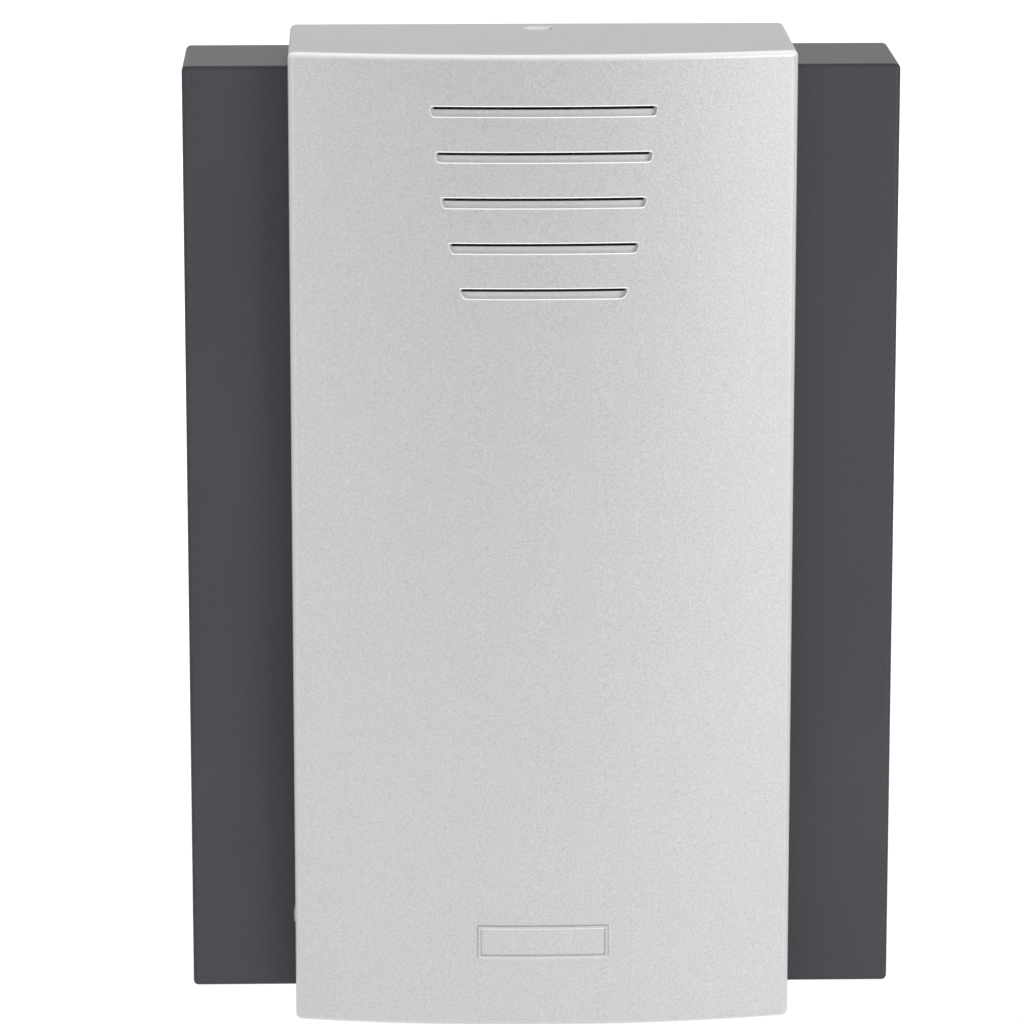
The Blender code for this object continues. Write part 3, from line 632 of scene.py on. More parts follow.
def make_housing():
    half_x, top = housing_high.x, HOUSING_TOP
    shell = box("housing_shell", (-half_x, HOUSING_FRONT, -top), (half_x, 0, top))
    round_edges(shell, lambda e: any(v.co.y < -0.001 for v in e.verts), 0.0010, 4)
    inner_x, inner_z = half_x - HOUSING_WALL, top - HOUSING_WALL
    front_back = HOUSING_FRONT + HOUSING_WALL
    hollow = box("hollow", (-inner_x, front_back, -inner_z), (inner_x, 0.01, inner_z))
    round_edges(hollow, lambda e: all(v.co.y < 0 for v in e.verts), 0.0008, 3)
    near, far = HOUSING_FRONT - OVER, front_back + OVER
    opening = box("opening", (-OPEN_X, near, -OPEN_Z), (OPEN_X, far, OPEN_Z))
    for side in (-1, 1):
        low_z, high_z = sorted((side * LUG_Z, side * 0.1))
        low, high = (-LUG_HALF, near - 0.001, low_z), (LUG_HALF, far + 0.001, high_z)
        carve(opening, box("lug", low, high))
    round_edges(opening, lambda e: reach(e) > 0.004, 0.0008, 3)
    carve(shell, hollow, opening)
    for side in (-1, 1):
        carve(shell, pin("screw_hole", SCREW_HOLE, 0, side * SCREW_Z, near, far))
        rib_out = side * (COVER_HALF - WALL - GAP)
        low_x, high_x = sorted((rib_out, rib_out - side * RIB_WALL))
        low, high = (low_x, housing_low.y, -RIB_Z), (high_x, HOUSING_FRONT + 0.001, RIB_Z)
        rib = box("rib", low, high)
        front = housing_low.y + 1e-5
        round_edges(rib, lambda e: any(v.co.y < front for v in e.verts), 0.0005, 2)
        carve(shell, rib, operation="UNION")
    low, high = (-NOTCH_X, NOTCH_Y, inner_z - OVER / 2), (NOTCH_X, OVER, top + OVER / 2)
    carve(shell, box("notch", low, high))
    tidy_normals(shell)
    return counted(smooth(shell))


housing = make_housing()

# %% [markdown]
# ## Lathe work
#
# Half the pieces inside are round. A vertex is drawn along half a section by extruding
# it, and Spin turns the line once round. A ring's section closes on itself.

# %% Turn a round piece
LATHE_TURNS = {"X": (0, 0, 0), "-X": (0, 0, math.pi), "-Y": (0, 0, -math.pi / 2)}


def turned(name, outline, place, axis="X", sides=40):
    """Spins an outline of (distance along the axis, radius) points once round."""
    bpy.ops.mesh.primitive_plane_add(size=0.01)
    piece = bpy.context.object
    piece.name = name
    with edit(piece):
        bpy.ops.mesh.select_all(action="SELECT")
        bpy.ops.mesh.merge(type="CENTER")
        bpy.ops.transform.translate(value=(outline[0][0], 0, outline[0][1]))
        for (start, radius), (end, next_radius) in zip(outline, outline[1:]):
            step = (end - start, 0, next_radius - radius)
            bpy.ops.mesh.extrude_vertices_move(TRANSFORM_OT_translate={"value": step})
        bpy.ops.mesh.select_all(action="SELECT")
        bpy.ops.mesh.spin(steps=sides, angle=math.tau, center=(0, 0, 0), axis=(1, 0, 0))
    piece.rotation_euler = LATHE_TURNS[axis]
    piece.location = place
    settle(piece)
    return tidy_normals(piece)


def mirrored(half):
    """Half an outline, followed by its mirror image across the middle."""
    return half + [(-along, radius) for along, radius in reversed(half)]


def middle(node):
    """The centre of a CAD node's box at rest."""
    low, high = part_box(node)
    return (low + high) / 2


def bevelled(piece, width, segments=2, angle=40):
    """Rounds every edge sharper than the angle."""
    return apply_modifier(
        piece,
        "BEVEL",
        width=width,
        segments=segments,
        limit_method="ANGLE",
        angle_limit=math.radians(angle),
        harden_normals=False,
    )


stand_ins = {"front_cover": cover, "housing": housing}
print("lathe ready")

# %% [markdown]
# ## Screws
#
# Seven slotted screws hold the chime together. Each is turned with a domed head and a
# thread of small steps, and then its slot is cut. A real thread climbs; rings look the
# same at this size and keep the solid simple.

# %% Turn the screws
SCREW_HEAD_HEIGHT = 0.0018
THREAD_PITCH, THREAD_DEPTH = 0.0008, 0.00022
SLOT_HALF, SLOT_DEPTH = 0.0003, 0.0007


def slotted_screw(node, radius):
    """A screw along Y with its head in front, as long as its CAD node."""
    low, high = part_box(node)
    head = (high.x - low.x) / 2
    under = low.y + SCREW_HEAD_HEIGHT
    x, z = middle(node).x, middle(node).z
    length = high.y - under
    top = SCREW_HEAD_HEIGHT
    outline = [(top, 0), (top, 0.40 * head), (0.94 * top, 0.68 * head)]
    outline += [(0.78 * top, 0.88 * head), (0.52 * top, 0.98 * head), (0.42 * top, head)]
    outline += [(0.10 * top, head), (0, 0.96 * head), (0, radius)]
    depth = -THREAD_PITCH / 2
    while depth - THREAD_PITCH > THREAD_PITCH - length:
        outline.append((depth, radius - THREAD_DEPTH))
        outline.append((depth - THREAD_PITCH / 2, radius))
        depth -= THREAD_PITCH
    outline += [(depth, radius - THREAD_DEPTH), (-length, radius / 3), (-length, 0)]
    screw = turned(node + "_turned", outline, (x, under, z), "-Y", 28)
    slot = box(
        "slot",
        (x - head - 0.001, low.y - 0.001, z - SLOT_HALF),
        (x + head + 0.001, low.y + SLOT_DEPTH, z + SLOT_HALF),
    )
    carve(screw, slot)
    return smooth(screw, 35)


SCREWS = {
    # radius: nodes
    0.0013: (
        "housing_screw_upper",
        "housing_screw_lower",
        "solenoid_screw_upper",
        "solenoid_screw_lower",
        "block_screw",
    ),
    0.0011: ("terminal_screw_left", "terminal_screw_right"),
}
for screw_radius, screw_nodes in SCREWS.items():
    for screw_node in screw_nodes:
        stand_ins[screw_node] = slotted_screw(screw_node, screw_radius)
print(sum(map(len, SCREWS.values())), "screws turned")

# %% [markdown]
# ## Tone plates and grommets
#
# Each plate is a bar of ground steel, struck on its flat side. It hangs on two pegs at
# its still points, about 22 per cent in from each end, through rubber grommets that keep
# the pegs from damping it. The bar's edges and its holes' rims are barely broken.

# %% Make the tone plates
TONE_HOLE_RADIUS = 0.0035
PEG_Y = -0.0155
GROMMET_BORE = 0.0018


def tone_plate(side):
    node = f"tone_plate_{side}"
    low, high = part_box(node)
    x = middle(node).x
    half = (high.x - low.x) / 2
    plate = box(node + "_bar", low, high)
    for level in ("upper", "lower"):
        z = middle(f"grommet_{side}_{level}").z
        ends = (x - 0.01, PEG_Y, z), (x + 0.01, PEG_Y, z)
        carve(plate, post("hole", TONE_HOLE_RADIUS, *ends, "X"))
    bevelled(plate, 0.00022)
    stand_ins[node] = smooth(plate)
    for level in ("upper", "lower"):
        stand_ins[f"grommet_{side}_{level}"] = grommet(f"grommet_{side}_{level}", half)


def grommet(node, plate_half):
    """A rubber ring whose rounded lips hold both faces of the plate."""
    low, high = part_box(node)
    end, lip = (high.x - low.x) / 2, (high.z - low.z) / 2
    waist, neck = plate_half + GAP, TONE_HOLE_RADIUS - GAP
    rim = 0.0005
    half = [(end - 0.6 * rim, GROMMET_BORE), (end, GROMMET_BORE + rim), (end, lip - rim)]
    half += [(end - 0.3 * rim, lip - 0.3 * rim), (end - rim, lip), (waist + 0.5 * rim, lip)]
    outline = mirrored(half + [(waist, lip - 0.5 * rim), (waist, neck)])
    outline.append(outline[0])
    return smooth(turned(node + "_turned", outline, middle(node), "X", 32), 50)


tone_plate("left")
tone_plate("right")
print("2 tone plates, 4 grommets")

# %% [markdown]
# ## The solenoid
#
# A strip of steel is bent into a U and closed by a strap, which is staked at both ends.
# Between them sits the nylon bobbin, wound with enamelled wire and covered with one turn
# of tape. The winding is drawn wire by wire: its outline rises and falls once per turn.

# %% Measure the solenoid
yoke_low, yoke_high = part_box("solenoid_yoke")
strap_low, strap_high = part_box("yoke_strap")
STEEL = strap_high.y - strap_low.y
AXIS_Y = middle("plunger_core").y
YOKE_END = yoke_high.x
YOKE_HALF_WIDTH = strap_high.z
BORE = 0.0053
EAR_HALF = 0.005
BEND_RADIUS, EAR_RADIUS = 0.0018, 0.0022
TAB_Z, TAB_HALF, SEAM_HALF, SEAM_DEEP = 0.0045, 0.0016, 0.00085, 0.0003
print(f"yoke {2000 * YOKE_END:.0f} mm long in {1000 * STEEL:.1f} mm steel")

# %% Bend the yoke and stake the strap
yoke = box(
    "yoke_bent",
    (-YOKE_END, yoke_low.y, -YOKE_HALF_WIDTH),
    (YOKE_END, yoke_high.y, YOKE_HALF_WIDTH),
)
back = yoke_high.y - 1e-5
round_edges(
    yoke,
    lambda e: all(v.co.y > back for v in e.verts) and reach(e, "z") > 0.01,
    BEND_RADIUS,
    5,
)
inside = box(
    "inside",
    (-YOKE_END + STEEL, yoke_low.y - OVER, -0.02),
    (YOKE_END - STEEL, yoke_high.y - STEEL, 0.02),
)
ears = box(
    "ears",
    (-EAR_HALF, yoke_high.y - STEEL, yoke_low.z),
    (EAR_HALF, yoke_high.y, yoke_high.z),
)
round_edges(ears, lambda e: reach(e) > STEEL / 2, EAR_RADIUS, 5)
carve(yoke, inside)
carve(yoke, ears, operation="UNION")
carve(yoke, post("bore", BORE, (-0.03, AXIS_Y, 0), (0.03, AXIS_Y, 0), "X", 48))
for level in ("upper", "lower"):
    z = middle(f"solenoid_screw_{level}").z
    carve(yoke, pin("ear_hole", SCREW_HOLE, 0, z, -0.012, -0.003))
bevelled(yoke, 0.00018)
stand_ins["solenoid_yoke"] = counted(smooth(yoke))

strap = box("strap_staked", strap_low, strap_high)
for side in (-1, 1):
    x = side * (YOKE_END - STEEL / 2)
    for z in (-TAB_Z, TAB_Z):
        low = (x - SEAM_HALF, strap_low.y - OVER / 2, z - TAB_HALF)
        high = (x + SEAM_HALF, strap_low.y + SEAM_DEEP, z + TAB_HALF)
        carve(strap, box("tab_seam", low, high))
bevelled(strap, 0.00022)
stand_ins["yoke_strap"] = counted(smooth(strap))

# %% [markdown]
# The bobbin's flanges are rounded, and its tube runs through the yoke's ends. The tape
# ends in a lap, a second layer over a short arc.

# %% Turn the bobbin, wind it and tape it
BOBBIN_TUBE, BOBBIN_BORE, FLANGE = 0.0050, 0.0040, 0.0084
FLANGE_OUT = YOKE_END - STEEL - GAP
FLANGE_IN = FLANGE_OUT - 0.0015
WINDING_RADIUS = 0.0076
WIRE = 0.00042

half_spool = [(FLANGE_IN, BOBBIN_TUBE), (FLANGE_IN, FLANGE - 0.0004)]
half_spool += [(FLANGE_IN + 0.0004, FLANGE), (FLANGE_OUT - 0.0004, FLANGE)]
half_spool += [(FLANGE_OUT, FLANGE - 0.0004), (FLANGE_OUT, BOBBIN_TUBE)]
half_spool += [(YOKE_END - 0.0003, BOBBIN_TUBE), (YOKE_END, BOBBIN_TUBE - 0.0003)]
half_spool += [(YOKE_END, BOBBIN_BORE + 0.0002), (YOKE_END - 0.0002, BOBBIN_BORE)]
spool = mirrored(half_spool)
spool.append(spool[0])
bobbin = turned("bobbin_turned", spool, (0, AXIS_Y, 0))
stand_ins["coil_bobbin"] = counted(smooth(bobbin, 40))

wound = FLANGE_IN - GAP
turns = int(2 * wound / WIRE)
coil = [(wound, BOBBIN_TUBE + GAP), (wound, WINDING_RADIUS - WIRE / 4)]
for turn in range(turns):
    start = wound - 2 * wound * turn / turns
    for share, lift in ((0.25, -0.05), (0.5, 0), (0.75, -0.05), (1.0, -0.25)):
        coil.append((start - share * 2 * wound / turns, WINDING_RADIUS + lift * WIRE))
coil += [(-wound, BOBBIN_TUBE + GAP), coil[0]]
winding = turned("winding_wound", coil, (0, AXIS_Y, 0), sides=32)
stand_ins["coil_winding"] = counted(smooth(winding, 80))

tape_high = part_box("coil_tape")[1]
tape_end, tape_out = tape_high.x, tape_high.z
tape_in = WINDING_RADIUS + GAP
layer = (tape_out - tape_in) / 2
ring = [(tape_end, tape_in), (tape_end, tape_out - layer), (-tape_end, tape_out - layer)]
ring += [(-tape_end, tape_in), (tape_end, tape_in)]
tape = turned("tape_wrapped", ring, (0, AXIS_Y, 0), sides=48)
lap = upright_sheet("lap", 0, (-tape_end, tape_end), (tape_in + layer / 2, tape_out))
with edit(lap, "FACE"):
    bpy.ops.mesh.select_all(action="SELECT")
    bpy.ops.transform.rotate(value=math.pi / 2, orient_axis="Z", center_override=(0, 0, 0))
    bpy.ops.mesh.spin(steps=10, angle=math.radians(70), center=(0, 0, 0), axis=(1, 0, 0))
lap.location = (0, AXIS_Y, 0)
carve(tape, tidy_normals(settle(lap)), operation="UNION")
stand_ins["coil_tape"] = counted(smooth(tape, 40))

# %% [markdown]
# ## The plunger
#
# A turned steel core slides in the bobbin. A nylon striker with a rounded tip is pushed
# on each neck. The right one has a collar for the return spring.

# %% Turn the core and the strikers
core_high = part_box("plunger_core")[1]
CORE_RADIUS, NECK_RADIUS, NECK_LENGTH = core_high.z, 0.0022, 0.0050
shoulder = core_high.x - NECK_LENGTH
half_core = [(core_high.x, 0), (core_high.x, NECK_RADIUS - 0.0004)]
half_core += [(core_high.x - 0.0004, NECK_RADIUS), (shoulder, NECK_RADIUS)]
half_core += [(shoulder, CORE_RADIUS - 0.0003), (shoulder - 0.0003, CORE_RADIUS)]
core = turned("core_turned", mirrored(half_core), (0, AXIS_Y, 0))
stand_ins["plunger_core"] = counted(smooth(core, 40))

TIP_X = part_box("striker_right")[1].x
COLLAR_X, COLLAR_RADIUS, COLLAR_LENGTH = 0.030, 0.0056, 0.0015
TIP_CURVE = (
    # (distance behind the tip, radius)
    (0, 0),
    (0.00005, 0.0006),
    (0.0002, 0.0012),
    (0.00045, 0.0017),
    (0.0008, 0.0020),
    (0.0013, 0.0023),
    (0.0020, 0.0025),
)
bore, bore_end, mouth = NECK_RADIUS + GAP, core_high.x + GAP, shoulder + GAP
tip = [(TIP_X - back, radius) for back, radius in TIP_CURVE]
tip += [(COLLAR_X + 0.0060, 0.0028), (COLLAR_X + 0.0050, 0.0031)]
tip += [(COLLAR_X + 0.0040, CORE_RADIUS)]
collar_end = COLLAR_X + COLLAR_LENGTH
collar = [(collar_end, CORE_RADIUS), (collar_end, COLLAR_RADIUS - 0.0003)]
collar += [(collar_end - 0.0003, COLLAR_RADIUS), (COLLAR_X + 0.0003, COLLAR_RADIUS)]
collar += [(COLLAR_X, COLLAR_RADIUS - 0.0003), (COLLAR_X, CORE_RADIUS)]
cup = [(mouth, CORE_RADIUS), (mouth, bore), (bore_end, bore), (bore_end, 0)]
for side, axis, outline in (("right", "X", tip + collar + cup), ("left", "-X", tip + cup)):
    striker = turned(f"striker_{side}_turned", outline, (0, AXIS_Y, 0), axis, 32)
    stand_ins[f"striker_{side}"] = counted(smooth(striker, 40))

# %% [markdown]
# ## The return spring
#
# The spring stands between the yoke and the collar. A Screw modifier winds a wire's round
# section into turns.

# %% Wind the return spring
spring_low, spring_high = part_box("return_spring")
SPRING_WIRE, SPRING_TURNS = 0.00035, 5
SPRING_RADIUS = spring_high.z - SPRING_WIRE
SPRING_START, SPRING_END = spring_low.x + SPRING_WIRE, spring_high.x - SPRING_WIRE

bpy.ops.mesh.primitive_circle_add(
    vertices=12,
    radius=SPRING_WIRE,
    location=(0, 0, SPRING_RADIUS),
    rotation=(math.pi / 2, 0, 0),
)
spring = bpy.context.object
spring.name = "return_spring_wound"
settle(spring)
apply_modifier(
    spring,
    "SCREW",
    axis="X",
    angle=math.tau,
    iterations=SPRING_TURNS,
    screw_offset=(SPRING_END - SPRING_START) / SPRING_TURNS,
    steps=28,
    render_steps=28,
)
half_way = (SPRING_END - SPRING_START) / 2
for side in (-1, 1):
    with edit(spring, "EDGE"):
        pick("edges", lambda e: e.is_boundary and (e.verts[0].co.x - half_way) * side > 0)
        bpy.ops.mesh.edge_face_add()
spring.location = (SPRING_START, AXIS_Y, 0)
settle(spring)
tidy_normals(spring)
stand_ins["return_spring"] = counted(smooth(spring, 60))

# %% [markdown]
# ## The terminal block
#
# A moulded block holds two brass clamps in open channels, each under a screw well. The
# block's edges are rounded like any moulding, and two grooves set the wells apart from
# the screw hole between them.

# %% Mould the terminal block and its clamps
block_low, block_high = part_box("terminal_block")
BLOCK_Z = middle("terminal_block").z
WELL_RADIUS, CLAMP_THREAD, WIRE_HOLE = 0.0026, 0.0014, 0.0015
LEAD_RADIUS = 0.00045
GROOVE_X, GROOVE_HALF, GROOVE_DEEP = 0.0032, 0.0004, 0.0008


def make_clamp(side):
    node = f"terminal_clamp_{side}"
    low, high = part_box(node)
    x = middle(node).x
    clamp = box(node + "_cut", low, high)
    wire_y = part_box(f"coil_lead_{side}")[1].y - LEAD_RADIUS
    ends = (x, wire_y, low.z - OVER), (x, wire_y, high.z + OVER)
    wire_hole = post("wire_hole", WIRE_HOLE, *ends, "Z")
    carve(clamp, wire_hole, pin("thread", CLAMP_THREAD, x, BLOCK_Z, low.y - OVER, wire_y))
    stand_ins[node] = smooth(bevelled(clamp, 0.00015))


terminal = box("terminal_moulded", block_low, block_high)
round_edges(terminal, lambda e: True, 0.0006, 3)
block_front = block_low.y - OVER
for side in ("left", "right"):
    low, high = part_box(f"terminal_clamp_{side}")
    channel = box(
        "channel",
        (low.x - GAP, low.y - GAP, block_low.z - OVER),
        (high.x + GAP, high.y + GAP, block_high.z + OVER),
    )
    x = middle(f"terminal_clamp_{side}").x
    well = pin("well", WELL_RADIUS, x, BLOCK_Z, block_front, low.y + 0.0005)
    carve(terminal, channel, well)
    make_clamp(side)
for x in (-GROOVE_X, GROOVE_X):
    low = (x - GROOVE_HALF, block_low.y - OVER / 2, block_low.z - OVER / 2)
    high = (x + GROOVE_HALF, block_low.y + GROOVE_DEEP, block_high.z + OVER / 2)
    carve(terminal, box("groove", low, high))
carve(terminal, pin("screw_hole", SCREW_HOLE, 0, BLOCK_Z, block_front, OVER / 2))
bevelled(terminal, 0.00012)
stand_ins["terminal_block"] = counted(smooth(terminal))

# %% [markdown]
# ## The latch tongue
#
# A thin tab carries a nose that snaps into the cover's top window. Its front is a ramp,
# so the cover slides on by itself. Pressed down through the window, it lets the cover go.

# %% Model the latch tongue
NOSE_HALF = 0.00255
LEAF_TOP = 0.0953
NOSE_RAMP = 0.0013
nose_near, nose_far = WINDOW_NEAR - 0.0004, WINDOW_FAR + 0.0004
leaf = box("latch_leaf", latch_low, (latch_high.x, latch_high.y, LEAF_TOP))
nose = box(
    "nose",
    (-NOSE_HALF, nose_far, LEAF_TOP - 0.0005),
    (NOSE_HALF, nose_near, latch_high.z),
)
front = nose_far + 1e-5
round_edges(
    nose,
    lambda e: all(v.co.y < front and v.co.z > LEAF_TOP for v in e.verts),
    NOSE_RAMP,
    1,
)
carve(leaf, nose, operation="UNION")
bevelled(leaf, 0.00018)
stand_ins["latch_tongue"] = counted(smooth(leaf))

# %% [markdown]
# ## The base plate
#
# The base plate is screwed to the wall and carries everything else. It is a tray with a
# rim, bosses, a pad and posts, two keyholes and two level slots for the wall screws.

# %% Measure the base plate
base_low, base_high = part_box("base_plate")
RIM_WALL, FLOOR_THICKNESS, RIM_HEIGHT = 0.0016, 0.0025, 0.0070
PLATE_TOP = HOUSING_TOP - HOUSING_WALL - GAP
TAB_WIDE = latch_high.x
BOSS_RADIUS, PILOT_RADIUS = 0.0040, 0.0016
PAD_X, PAD_Z = 0.020, 0.0175
POST_NEAR, POST_FAR, POST_FRONT, POST_HALF = 0.0636, 0.0664, -0.0205, 0.004
PEG_RADIUS, PEG_ROOT, PEG_TIP = 0.0015, 0.0646, 0.0558
KEYHOLE_X, KEYHOLE_Z, KEYHOLE_HEAD = 0.030, 0.060, 0.0042
KEYHOLE_SLOT, KEYHOLE_RUN = 0.0022, 0.0080
LEVEL_X, LEVEL_Z, LEVEL_LENGTH = 0.038, -0.066, 0.010
THROUGH = (-0.01, 0.004)
CABLE_HALF, CABLE_LOW, CABLE_HIGH = 0.012, -0.074, -0.060


# %% Mould the tray
def long_hole(x, z, run, radius, upright):
    """Two round tools and a box between them: a hole with round ends."""
    ends = ((0, 0), (0, run)) if upright else ((-run / 2, 0), (run / 2, 0))
    rounds = [pin("round", radius, x + dx, z + dz, *THROUGH) for dx, dz in ends]
    wide, tall = (radius, 0) if upright else (0, radius)
    (x0, z0), (x1, z1) = ends
    low = (x + x0 - wide, THROUGH[0], z + z0 - tall)
    high = (x + x1 + wide, THROUGH[1], z + z1 + tall)
    return rounds + [box("between", low, high)]


def peg_post(side, side_name, level, floor):
    """A post with the peg that carries one grommet."""
    z = middle(f"grommet_{side_name}_{level}").z
    low_x, high_x = sorted((side * POST_NEAR, side * POST_FAR))
    low, high = (low_x, POST_FRONT, z - POST_HALF), (high_x, floor, z + POST_HALF)
    ends = (side * PEG_ROOT, PEG_Y, z), (side * PEG_TIP, PEG_Y, z)
    return box("post", low, high), post("peg", PEG_RADIUS, *ends, "X", 24)


def make_tray():
    half_x, rim_y = base_high.x, -RIM_HEIGHT
    tray = box("base_tray", (-half_x, rim_y, -PLATE_TOP), (half_x, 0, PLATE_TOP))
    round_edges(tray, lambda e: reach(e) > 0.004, 0.0008, 3)
    pocket_x, pocket_z = half_x - RIM_WALL, PLATE_TOP - RIM_WALL
    low, high = (-pocket_x, -0.01, -pocket_z), (pocket_x, -FLOOR_THICKNESS, pocket_z)
    carve(tray, box("pocket", low, high))
    floor = 0.0005 - FLOOR_THICKNESS
    tab_low = (-TAB_WIDE, latch_high.y + GAP, pocket_z - OVER / 2)
    additions = [
        box("tab", tab_low, (TAB_WIDE, 0, LEAF_TOP)),
        box("pad", (-PAD_X, yoke_high.y + GAP, -PAD_Z), (PAD_X, floor, PAD_Z)),
    ]
    for side, side_name in ((-1, "left"), (1, "right")):
        z = side * SCREW_Z
        additions.append(pin("boss", BOSS_RADIUS, 0, z, base_low.y, floor, 40))
        for level in ("lower", "upper"):
            additions += peg_post(side, side_name, level, floor)
    return carve(tray, *additions, operation="UNION")


tray = counted(make_tray())

# %% Cut the holes and the back
rim_gap = box(
    "rim_gap",
    (-TAB_WIDE - 0.0015, -RIM_HEIGHT - OVER, PLATE_TOP - RIM_WALL - OVER / 2),
    (TAB_WIDE + 0.0015, latch_high.y, PLATE_TOP + 0.0002),
)
near, far = THROUGH
cable = box("cable", (-CABLE_HALF, near, CABLE_LOW), (CABLE_HALF, far, CABLE_HIGH))
round_edges(cable, lambda e: reach(e) > 0.004, 0.0008, 3)
carve(tray, rim_gap, cable)
level_run = LEVEL_LENGTH - 2 * KEYHOLE_SLOT
for side in (-1, 1):
    x = side * KEYHOLE_X
    head = pin("head", KEYHOLE_HEAD, x, KEYHOLE_Z, *THROUGH, 40)
    carve(tray, head, *long_hole(x, KEYHOLE_Z, KEYHOLE_RUN, KEYHOLE_SLOT, True))
    carve(tray, *long_hole(side * LEVEL_X, LEVEL_Z, level_run, KEYHOLE_SLOT, False))
    pad_z = side * middle("solenoid_screw_upper").z
    for z, near, far in (
        (side * SCREW_Z, base_low.y - OVER, -0.012),
        (pad_z, -0.008, -0.0012),
    ):
        carve(tray, pin("pilot", PILOT_RADIUS, 0, z, near, far, 24))
carve(tray, pin("pilot", PILOT_RADIUS, 0, BLOCK_Z, -0.004, OVER, 24))
counted(tray)

# %% [markdown]
# The back gets shallow sunken panels, which leave a pattern of ribs, and a round mark
# wherever an ejector pin pushed the moulding out.

# %% Sink the back panels
PANEL_SINK = 0.0007
PIN_RADIUS, PIN_SINK = 0.0022, 0.00015
PIN_MARKS = (
    (0.024, 0.088),
    (0.053, 0.0725),
    (0.045, 0.014),
    (0.045, -0.043),
    (0.010, -0.0275),
)
PANELS = (
    # (x from, x to, z from, z to), mirrored to the other side
    (0.004, 0.0200, 0.0300, 0.0500),
    (0.004, 0.0200, 0.0530, 0.0760),
    (0.042, 0.0640, 0.0300, 0.0560),
    (0.042, 0.0640, 0.0590, 0.0850),
    (0.004, 0.0220, -0.0340, -0.0210),
    (0.026, 0.0640, 0.0020, 0.0260),
    (0.026, 0.0640, -0.0260, -0.0020),
    (0.026, 0.0640, -0.0560, -0.0300),
    (0.020, 0.0640, -0.0880, -0.0740),
)
for low_x, high_x, low_z, high_z in PANELS:
    for side in (-1, 1):
        x0, x1 = sorted((side * low_x, side * high_x))
        panel = box("panel", (x0, -PANEL_SINK, low_z), (x1, OVER, high_z))
        round_edges(panel, lambda e: reach(e) > 0.001, 0.0012, 3)
        carve(tray, panel)
for x, z in PIN_MARKS:
    for side in (-1, 1):
        deep = -PANEL_SINK - PIN_SINK
        carve(tray, pin("pin_mark", PIN_RADIUS, side * x, z, deep, OVER))
bevelled(tray, 0.00015, 1)
stand_ins["base_plate"] = counted(smooth(tray))

# %% [markdown]
# ## The coil's leads
#
# Two insulated ends of the winding curve down into the terminals. A Bezier curve with a
# round bevel is the natural way to draw a wire, and it is then made a mesh. Each curve
# starts and ends where the engineering model's lead does.

# %% Draw the leads


def coil_lead(side, sign):
    node = f"coil_lead_{side}"
    low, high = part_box(node)
    outer = sign * (max(abs(low.x), abs(high.x)) - LEAD_RADIUS)
    inner = sign * (min(abs(low.x), abs(high.x)) + LEAD_RADIUS)
    bpy.ops.curve.primitive_bezier_curve_add()
    lead = bpy.context.object
    lead.name = node + "_drawn"
    lead.data.dimensions = "3D"
    start, end = lead.data.splines[0].bezier_points
    wire_y = high.y - LEAD_RADIUS
    start.co, end.co = (outer, AXIS_Y, high.z), (inner, wire_y, low.z)
    for point in (start, end):
        point.handle_left_type = point.handle_right_type = "FREE"
    start.handle_right = (outer, AXIS_Y + 0.0005, high.z - 0.0107)
    start.handle_left = (outer, AXIS_Y, high.z + 0.002)
    end.handle_left = (inner, wire_y, low.z + 0.0160)
    end.handle_right = (inner, wire_y, low.z - 0.002)
    lead.data.resolution_u = 24
    lead.data.bevel_depth = LEAD_RADIUS
    lead.data.bevel_resolution = 3
    lead.data.use_fill_caps = True
    only(lead)
    bpy.ops.object.convert(target="MESH")
    return smooth(tidy_normals(settle(bpy.context.object)), 50)


stand_ins["coil_lead_left"] = coil_lead("left", -1)
stand_ins["coil_lead_right"] = coil_lead("right", 1)
print(len(stand_ins), "pieces remodelled")

# %% [markdown]
# ## Writing a material
#
# A material's maths reads best as Python. A `Value` wraps one output socket, and
# arithmetic on it adds Math nodes. `Finish` starts a Principled material, and its method
# `add` puts in any node. Only base colour, roughness, metallic and the bump's normal get
# something that varies. Only sockets that an export can bake get something that varies.


# %% Sockets as Python values
def maths(operation, swapped=False):
    """An operator that adds one Math node for its two operands."""

    def method(self, other):
        first, second = (other, self) if swapped else (self, other)
        sockets = {0: first, 1: second}
        return self.finish.add("Math", {"operation": operation}, sockets)

    return method


class Value:
    """A number that varies over a surface."""

    def __init__(self, finish, socket):
        self.finish, self.socket = finish, socket

    __add__ = __radd__ = maths("ADD")
    __mul__ = __rmul__ = maths("MULTIPLY")
    __sub__, __rsub__ = maths("SUBTRACT"), maths("SUBTRACT", swapped=True)


